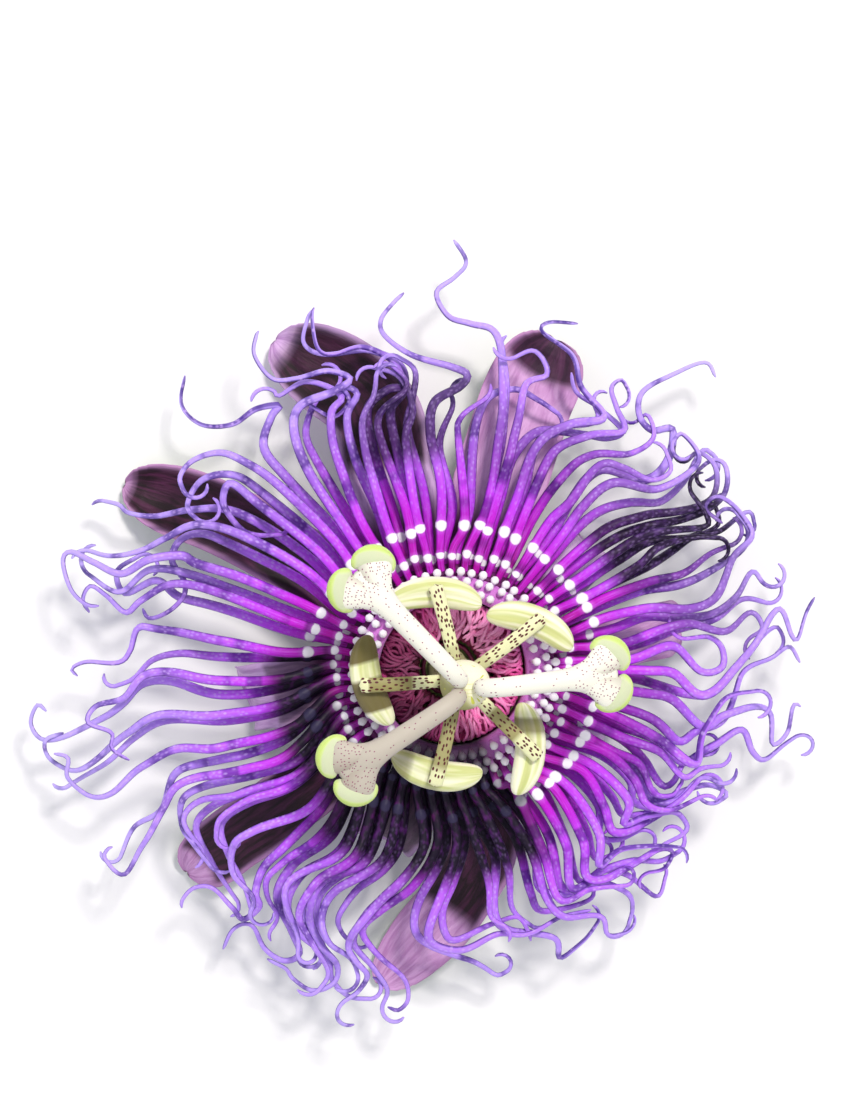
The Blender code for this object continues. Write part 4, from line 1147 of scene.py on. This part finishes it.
def add_anther(number, middle, anther_heading, bands, anther_wall, dice):
    """Two pollen sacs side by side, bowed towards the axis and blunt at both ends."""
    long_way = heading_vector(anther_heading)
    outward = long_way.cross(UP)
    if outward.dot(middle) < 0:
        outward = -outward
    shape = Shape()
    strand = dice.random()
    across, top = circle(ANTHER_SIDES)
    for place in shares(ANTHER_STATIONS):
        at = math.sin(math.pi * (place - 0.5)) / 2
        body = math.sqrt(max(0.0, 1.0 - (abs(at) * 2) ** ANTHER_SQUARENESS))
        body = body * (1.0 - ANTHER_END) + ANTHER_END
        centre = middle + UP * ANTHER_HEIGHT + long_way * (at * ANTHER_LENGTH)
        centre = centre - outward * (ANTHER_BOW * 4 * at * at)
        points = []
        for c, s in zip(across, top, strict=True):
            groove = 1.0 - ANTHER_GROOVE * math.exp(-((c / 0.2) ** 2))
            aside = outward * (c * ANTHER_WIDTH / 2 * body)
            points.append(centre + aside + UP * (s * ANTHER_THICKNESS / 2 * body * groove))
        # Painted cast shadows across the anther, over a slight even darkening.
        shadow_depths = [shadow_depth * between(at + 0.5, start, end, SHADOW_SOFT) for start, end, shadow_depth in bands]
        shape.grow(points, centre, {"across": 0.0}, along=at * ANTHER_LENGTH, across=across,
                   strand=strand, stain=max([ANTHER_DUSK] + shadow_depths))
    shape.end(centre)
    shape.piece(f"anther_sacs_{number}", anther_wall, "anther", f"anther_{number}")


def ovary_rib(heading):
    return 0.02 * math.cos(math.radians(heading - 14.0) * 3)


def add_ovary(skin_made):
    """A waxy egg with painted shade on its lower left, freckled near its top."""
    shape = Shape()
    capped(shape, fine(OVARY_PROFILE, 26), 60, ovary_rib)
    shape.values["stain"] = [0.9 * ease(-(point.x + point.y), 0.4, 2.6) for point in shape.points]
    shape.values["wide"] = [OVARY_WRAP * value for value in shape.values["across"]]
    shape.values["spots"] = [ease(share, 0.6, 0.85) for share in shape.values["share"]]
    shape.piece("ovary_wall", skin_made, "column", "ovary")


def add_style(number, heading, reach, shade, style_skin, stigma, dice):
    """A style that swells outwards and forks into two broad arms, each with a stigma lobe on its end."""
    out = heading_vector(heading)
    side = UP.cross(out)
    route = [(1.5, 33.95), (1.9, 35.2), (4.0, STYLE_HEIGHT), (9.0, STYLE_HEIGHT + 0.1)]
    route += [(reach - 4.0, STYLE_HEIGHT - 0.15), (reach + STYLE_WEB, STYLE_HEIGHT - 1.0)]
    path = smooth(in_plane(heading, route), STYLE_STATIONS)
    places = shares(STYLE_STATIONS)
    widths = [STYLE_WIDTH + 0.8 * place + STYLE_FLARE * ease(place, 0.7, 1.0) for place in places]
    heights = [STYLE_THICKNESS + 0.4 * place - 0.9 * ease(place, 0.8, 1.0) for place in places]
    freckled = [max(1.0 - ease(place, 0.12, 0.3), ease(place, 0.7, 0.95)) for place in places]
    rows = {"half": [width / 2 for width in widths], "spots": [0.15 + 0.85 * much for much in freckled]}
    shape = Shape()
    lobes = Shape()
    strand = dice.random()
    sweep(shape, path, widths, heights, STYLE_SIDES, side, rows=rows, strand=strand, stain=shade)
    for hand in (-1.0, 1.0):
        add_arm(shape, out, side, hand, reach, shade, strand + 0.3 * hand)
        way = (out * math.cos(ARM_SPLAY) + side * (hand * math.sin(ARM_SPLAY))).normalized()
        aside = side * (hand * LOBE_ASIDE)
        add_lobe(lobes, out * (reach + LOBE_FORWARD) + aside + UP * (STYLE_HEIGHT - LOBE_DROP), way)
    halves = zip(shape.values["across"], shape.values["half"], strict=False)
    shape.values["wide"] = [across * half for across, half in halves]
    shape.piece(f"style_{number}_forked", style_skin, "style", f"style_{number}")
    lobes.piece(f"stigma_{number}_lobes", stigma, "stigma", f"stigma_{number}")


def add_arm(shape, out, side, hand, reach, shade, strand):
    """One arm of a style's fork, with painted shade in the crease on the side towards the other arm."""
    arm = [
        out * (reach + forward) + side * (hand * aside) + UP * (STYLE_HEIGHT - drop)
        for forward, aside, drop in ARM_ROUTE
    ]
    places = shares(ARM_STATIONS)
    ends = [blunt(place, 0.8, 0.21, 0.05) for place in places]
    widths = [ARM_ROOT + (ARM_END - ARM_ROOT) * ease(place, 0.15, 1.0) for place in places]
    crease = [min(1.0, shade + CREASE_SHADE * ease(-hand * c, 0.1, 0.9)) for c in circle(STYLE_SIDES)[0]]
    rows = {
        "half": [width / 2 for width in widths],
        "spots": [1.0] * ARM_STATIONS,
        "stain": [crease] * ARM_STATIONS,
    }
    broad = [width * (0.6 + 0.4 * end) for width, end in zip(widths, ends, strict=True)]
    thick = [ARM_THICKNESS * end for end in ends]
    sweep(shape, smooth(arm, ARM_STATIONS), broad, thick, STYLE_SIDES, side, rows=rows, strand=strand)


def add_lobe(shape, middle, way):
    """One kidney-shaped stigma lobe, bent round the end of its arm."""
    long_way = UP.cross(way)
    cosines, sines = circle(LOBE_SIDES)
    for i in range(LOBE_STATIONS):
        at = -math.cos(math.pi * (i + 0.5) / LOBE_STATIONS)
        body = math.sqrt(1.0 - at * at) ** 0.8
        centre = middle + long_way * (at * LOBE_LENGTH / 2) - way * (LOBE_BEND * at * at)
        points = [
            centre + way * (c * LOBE_WIDTH / 2 * body) + UP * (s * LOBE_HEIGHT / 2 * body)
            for c, s in zip(cosines, sines, strict=True)
        ]
        rim = [0.45 + 0.3 * ease(c, 0.45, 0.85) + 0.25 * ease(abs(at), 0.7, 1.0) for c in cosines]
        shape.grow(points, centre, {"rim": LOBE_RIM}, rim=rim)
    shape.end(centre)


def add_pistil(ovary_skin, style_skin, stigma):
    add_ovary(ovary_skin)
    dice = random.Random(17)
    for number, (heading, reach, shade) in enumerate(STYLES, start=1):
        add_style(number, heading, reach, shade, style_skin, stigma, dice)


# ---------------------------------------------------------------- sepals, petals and the green parts


def add_blade(name, recipe, skin_made, slot, dice, base=BLADE_BASE, thickness=BLADE_THICKNESS,
              ruffle=BLADE_RUFFLE, teeth=0.0):
    """A strap of channelled section that widens, then rounds off, with a thin, slightly wavy edge."""
    route, width, tip_rise, hood, (stain_from, stain_to), strength = recipe
    path = smooth([Vector(point) for point in route], BLADE_PATH)
    ways = tangents(path)
    length = length_of(path)
    shape = Shape()
    strand = dice.random()
    phases = (dice.uniform(0, RUFFLE_TURN), dice.uniform(0, RUFFLE_TURN))
    across = [2.0 * place - 1.0 for place in shares(BLADE_COLUMNS)]
    backs = [0.0] * BLADE_COLUMNS + [1.0] * BLADE_COLUMNS
    for place in shares(BLADE_STATIONS):
        share = 1.0 - (1.0 - place) ** 1.5
        at = round(share * (BLADE_PATH - 1))
        point, along = path[at], ways[at]
        side = UP.cross(along).normalized()
        up = along.cross(side)
        body = min(1.0, share / 0.3) ** 0.8
        rounding = blunt(share, BLADE_BLUNT_FROM, 1.0 - BLADE_BLUNT_FROM, 0.0, power=2.2)
        half = max(0.2, (base + (width - base) * body) * rounding / 2)
        rise = tip_rise * share * half / (width / 2) + 0.3
        lift = hood * ease(share, 0.82, 1.0)
        under, tops, stains = [], [], []
        for v in across:
            wave = ruffle * abs(v) ** 3 * ease(share, 0.15, 0.5) * rounding
            wave *= math.sin(share * 19.0 + phases[0 if v < 0 else 1])
            notch = 1.0 - teeth * abs(v) ** 6 * (0.5 + 0.5 * math.sin(share * 80.0))
            top = point + side * (half * v * notch) + up * (rise * v * v + wave + lift)
            thin = thickness * (0.3 + 0.7 * (1.0 - v**4)) * (0.45 + 0.55 * rounding)
            tops.append(top)
            under.append(top - up * thin)
            # Painted shade inside the channel, thinner towards the edges.
            stain = between(share, stain_from, stain_to, 0.06) * (1.0 - 0.7 * ease(abs(v), 0.78, 1.0))
            stains.append(stain * strength)
        # The root carries painted shade where it lies under the corona.
        shape.grow(
            tops + under[::-1], point - up * (thickness / 2), {"across": 0.0, "back": 0.0, "stain": 0.0},
            across=across + across[::-1], back=backs, stain=stains + stains[::-1], along=share * length,
            strand=strand, root=ROOT_SHADE * (1.0 - ease(share, 0.16, 0.3)),
        )
    shape.end(point + up * lift)
    shape.piece(f"{name}_blade", skin_made, slot, name)


def cup_lobe(heading):
    return 0.018 * math.cos(math.radians(heading) * 10)


def add_green(stalk_skin, bract_skin, cup_skin):
    """The cut stalk, the bracts round it and the cup that holds the flower together."""
    path = smooth(in_plane(STALK_HEADING, STALK_ROUTE), STALK_STATIONS)
    ribs = [STALK_WIDTH * (1.0 + 0.02 * math.sin(i * 0.9)) for i in range(STALK_STATIONS)]
    ribs[-1] = STALK_WIDTH * 0.93
    cut = [0.0] * (STALK_STATIONS - 1) + [1.0]
    shape = Shape()
    sweep(shape, path, ribs, ribs, 20, UP.cross(heading_vector(STALK_HEADING)), rows={"cut": cut})
    shape.piece("cut_stalk", stalk_skin, "stalk", "pedicel")

    dice = random.Random(3)
    for number, heading in enumerate(BRACT_HEADINGS, start=1):
        recipe = (in_plane(heading, BRACT_ROUTE), BRACT_WIDTH, BRACT_RISE, 0.0, (0.0, 0.1), 0.0)
        add_blade(f"bract_{number}", recipe, bract_skin, "bract", dice, base=1.6, thickness=0.5,
                  ruffle=0.15, teeth=0.16)

    shape = Shape()
    capped(shape, fine(CUP_OUTSIDE, 18) + CUP_RIM + fine(CUP_INSIDE, 10), 96, cup_lobe)
    shape.piece("receptacle_cup", cup_skin, "receptacle", "receptacle")


# ---------------------------------------------------------------- floor, light and camera


def add_stage():
    bpy.ops.mesh.primitive_grid_add(size=FLOOR_SIZE, x_subdivisions=8, y_subdivisions=8)
    floor = bpy.context.object
    floor.name = "studio_floor"
    made = bpy.data.materials.new("pale_studio_floor")
    made.use_nodes = True
    shader = made.node_tree.nodes["Principled BSDF"]
    shader.inputs["Base Color"].default_value = paint("#F1F1F2")
    shader.inputs["Roughness"].default_value = 0.85
    floor.data.materials.append(made)

    world = bpy.data.worlds.new("studio_air")
    world.use_nodes = True
    air = world.node_tree.nodes["Background"]
    air.inputs["Color"].default_value = paint("#F4F5FA")
    air.inputs["Strength"].default_value = 0.72
    bpy.context.scene.world = world


def add_lamp(name, place, size, power, tint):
    """A square softbox aimed at the middle of the flower."""
    lamp = bpy.data.lights.new(name, "AREA")
    lamp.size = size
    lamp.energy = power
    lamp.color = paint(tint)[:3]
    holder = bpy.data.objects.new(name, lamp)
    target = AXIS + UP * LOOKED_AT
    holder.location = target + Vector(place)
    holder.rotation_euler = (target - holder.location).to_track_quat("-Z", "Y").to_euler()
    bpy.context.collection.objects.link(holder)


def add_camera():
    """Looks almost straight down, from a little to the left of and beyond the flower."""
    look_at = AXIS + Vector((-0.0026, 0.0153, LOOKED_AT))
    from_side = Vector((-0.116, 0.086, 0.99)).normalized()
    camera = bpy.data.cameras.new("studio_camera")
    camera.sensor_width = 36.0
    camera.lens = camera.sensor_width * CAMERA_DISTANCE / VIEW_HEIGHT
    camera.clip_start = 0.01
    holder = bpy.data.objects.new("studio_camera", camera)
    holder.location = look_at + from_side * CAMERA_DISTANCE
    right = (-from_side).cross(Vector((0.0, 1.0, 0.0))).normalized()
    over = right.cross(-from_side)
    holder.rotation_mode = "QUATERNION"
    holder.rotation_quaternion = Matrix((right, over, from_side)).transposed().to_quaternion()
    bpy.context.collection.objects.link(holder)
    bpy.context.scene.camera = holder


def build():
    add_corona(corona_filament())
    add_short_filaments(club_skin())
    add_nectary(
        fringe_skin("pink_inner_fringe", "#C01A74", "#EE4AA6", "#FC7EC8", "#FFB0E0"),
        fringe_skin("operculum_membrane", "#4A0828", "#8C1858", "#B83A84", "#D670AC"),
    )
    add_column(speckled_skin(
        "speckled_column", "#DDE0A5", "#B9BE84", "#5A1A22", pitch=(1.0, 0.6), size=0.34,
        share_spotted=0.6, roughness=0.42,
    ))
    straps = speckled_skin(
        "speckled_stamen_strap", "#E6E8B8", "#847A3C", "#561520", pitch=(0.8, 0.44), size=0.34,
        share_spotted=0.75, roughness=0.42,
    )
    add_stamens(straps, anther_skin())
    ovary = speckled_skin(
        "waxy_ovary", "#FDFBD8", "#9A9A55", "#C8CC50", pitch=(1.0, 1.0), size=0.36,
        share_spotted=0.45, roughness=0.38,
    )
    style = speckled_skin(
        "freckled_style", "#F1F0E2", "#B0A698", "#8A4666", pitch=(0.46, 0.34), size=0.24,
        share_spotted=0.6, roughness=0.45,
    )
    add_pistil(ovary, style, stigma_skin())
    dice = random.Random(41)
    # Colours of the painted shade inside the sepals' and petals' channels.
    channel_shade = ("#1E0814", "#4E1E40")
    sepal = blade_skin("sepal_tissue", "#DCACDC", "#B880B8", "#CC94CA", channel_shade, "#7F9A5C")
    petal = blade_skin("petal_tissue", "#E0BCE8", "#B48AC0", "#C29CCE", channel_shade, "#C9A8D4")
    for name, recipe in SEPALS.items():
        add_blade(name, recipe, sepal, "sepal", dice)
    for name, recipe in PETALS.items():
        add_blade(name, recipe, petal, "petal", dice, ruffle=PETAL_RUFFLE)
    add_green(
        green_skin("ribbed_green_stalk", "#8FA654", "#5E7A33", 0.5),
        green_skin("toothed_green_bract", "#86A457", "#56752F", 0.55),
        green_skin("green_receptacle", "#9BAE63", "#6F7F48", 0.5),
    )
    add_stage()
    add_lamp("key_softbox", (0.08, 0.32, 0.62), 0.1, 3.5, "#FFF9F2")
    add_lamp("fill_softbox", (-0.45, -0.1, 0.5), 0.6, 0.6, "#F0F3FF")
    add_camera()
    bpy.context.scene.view_settings.view_transform = "Standard"


build()
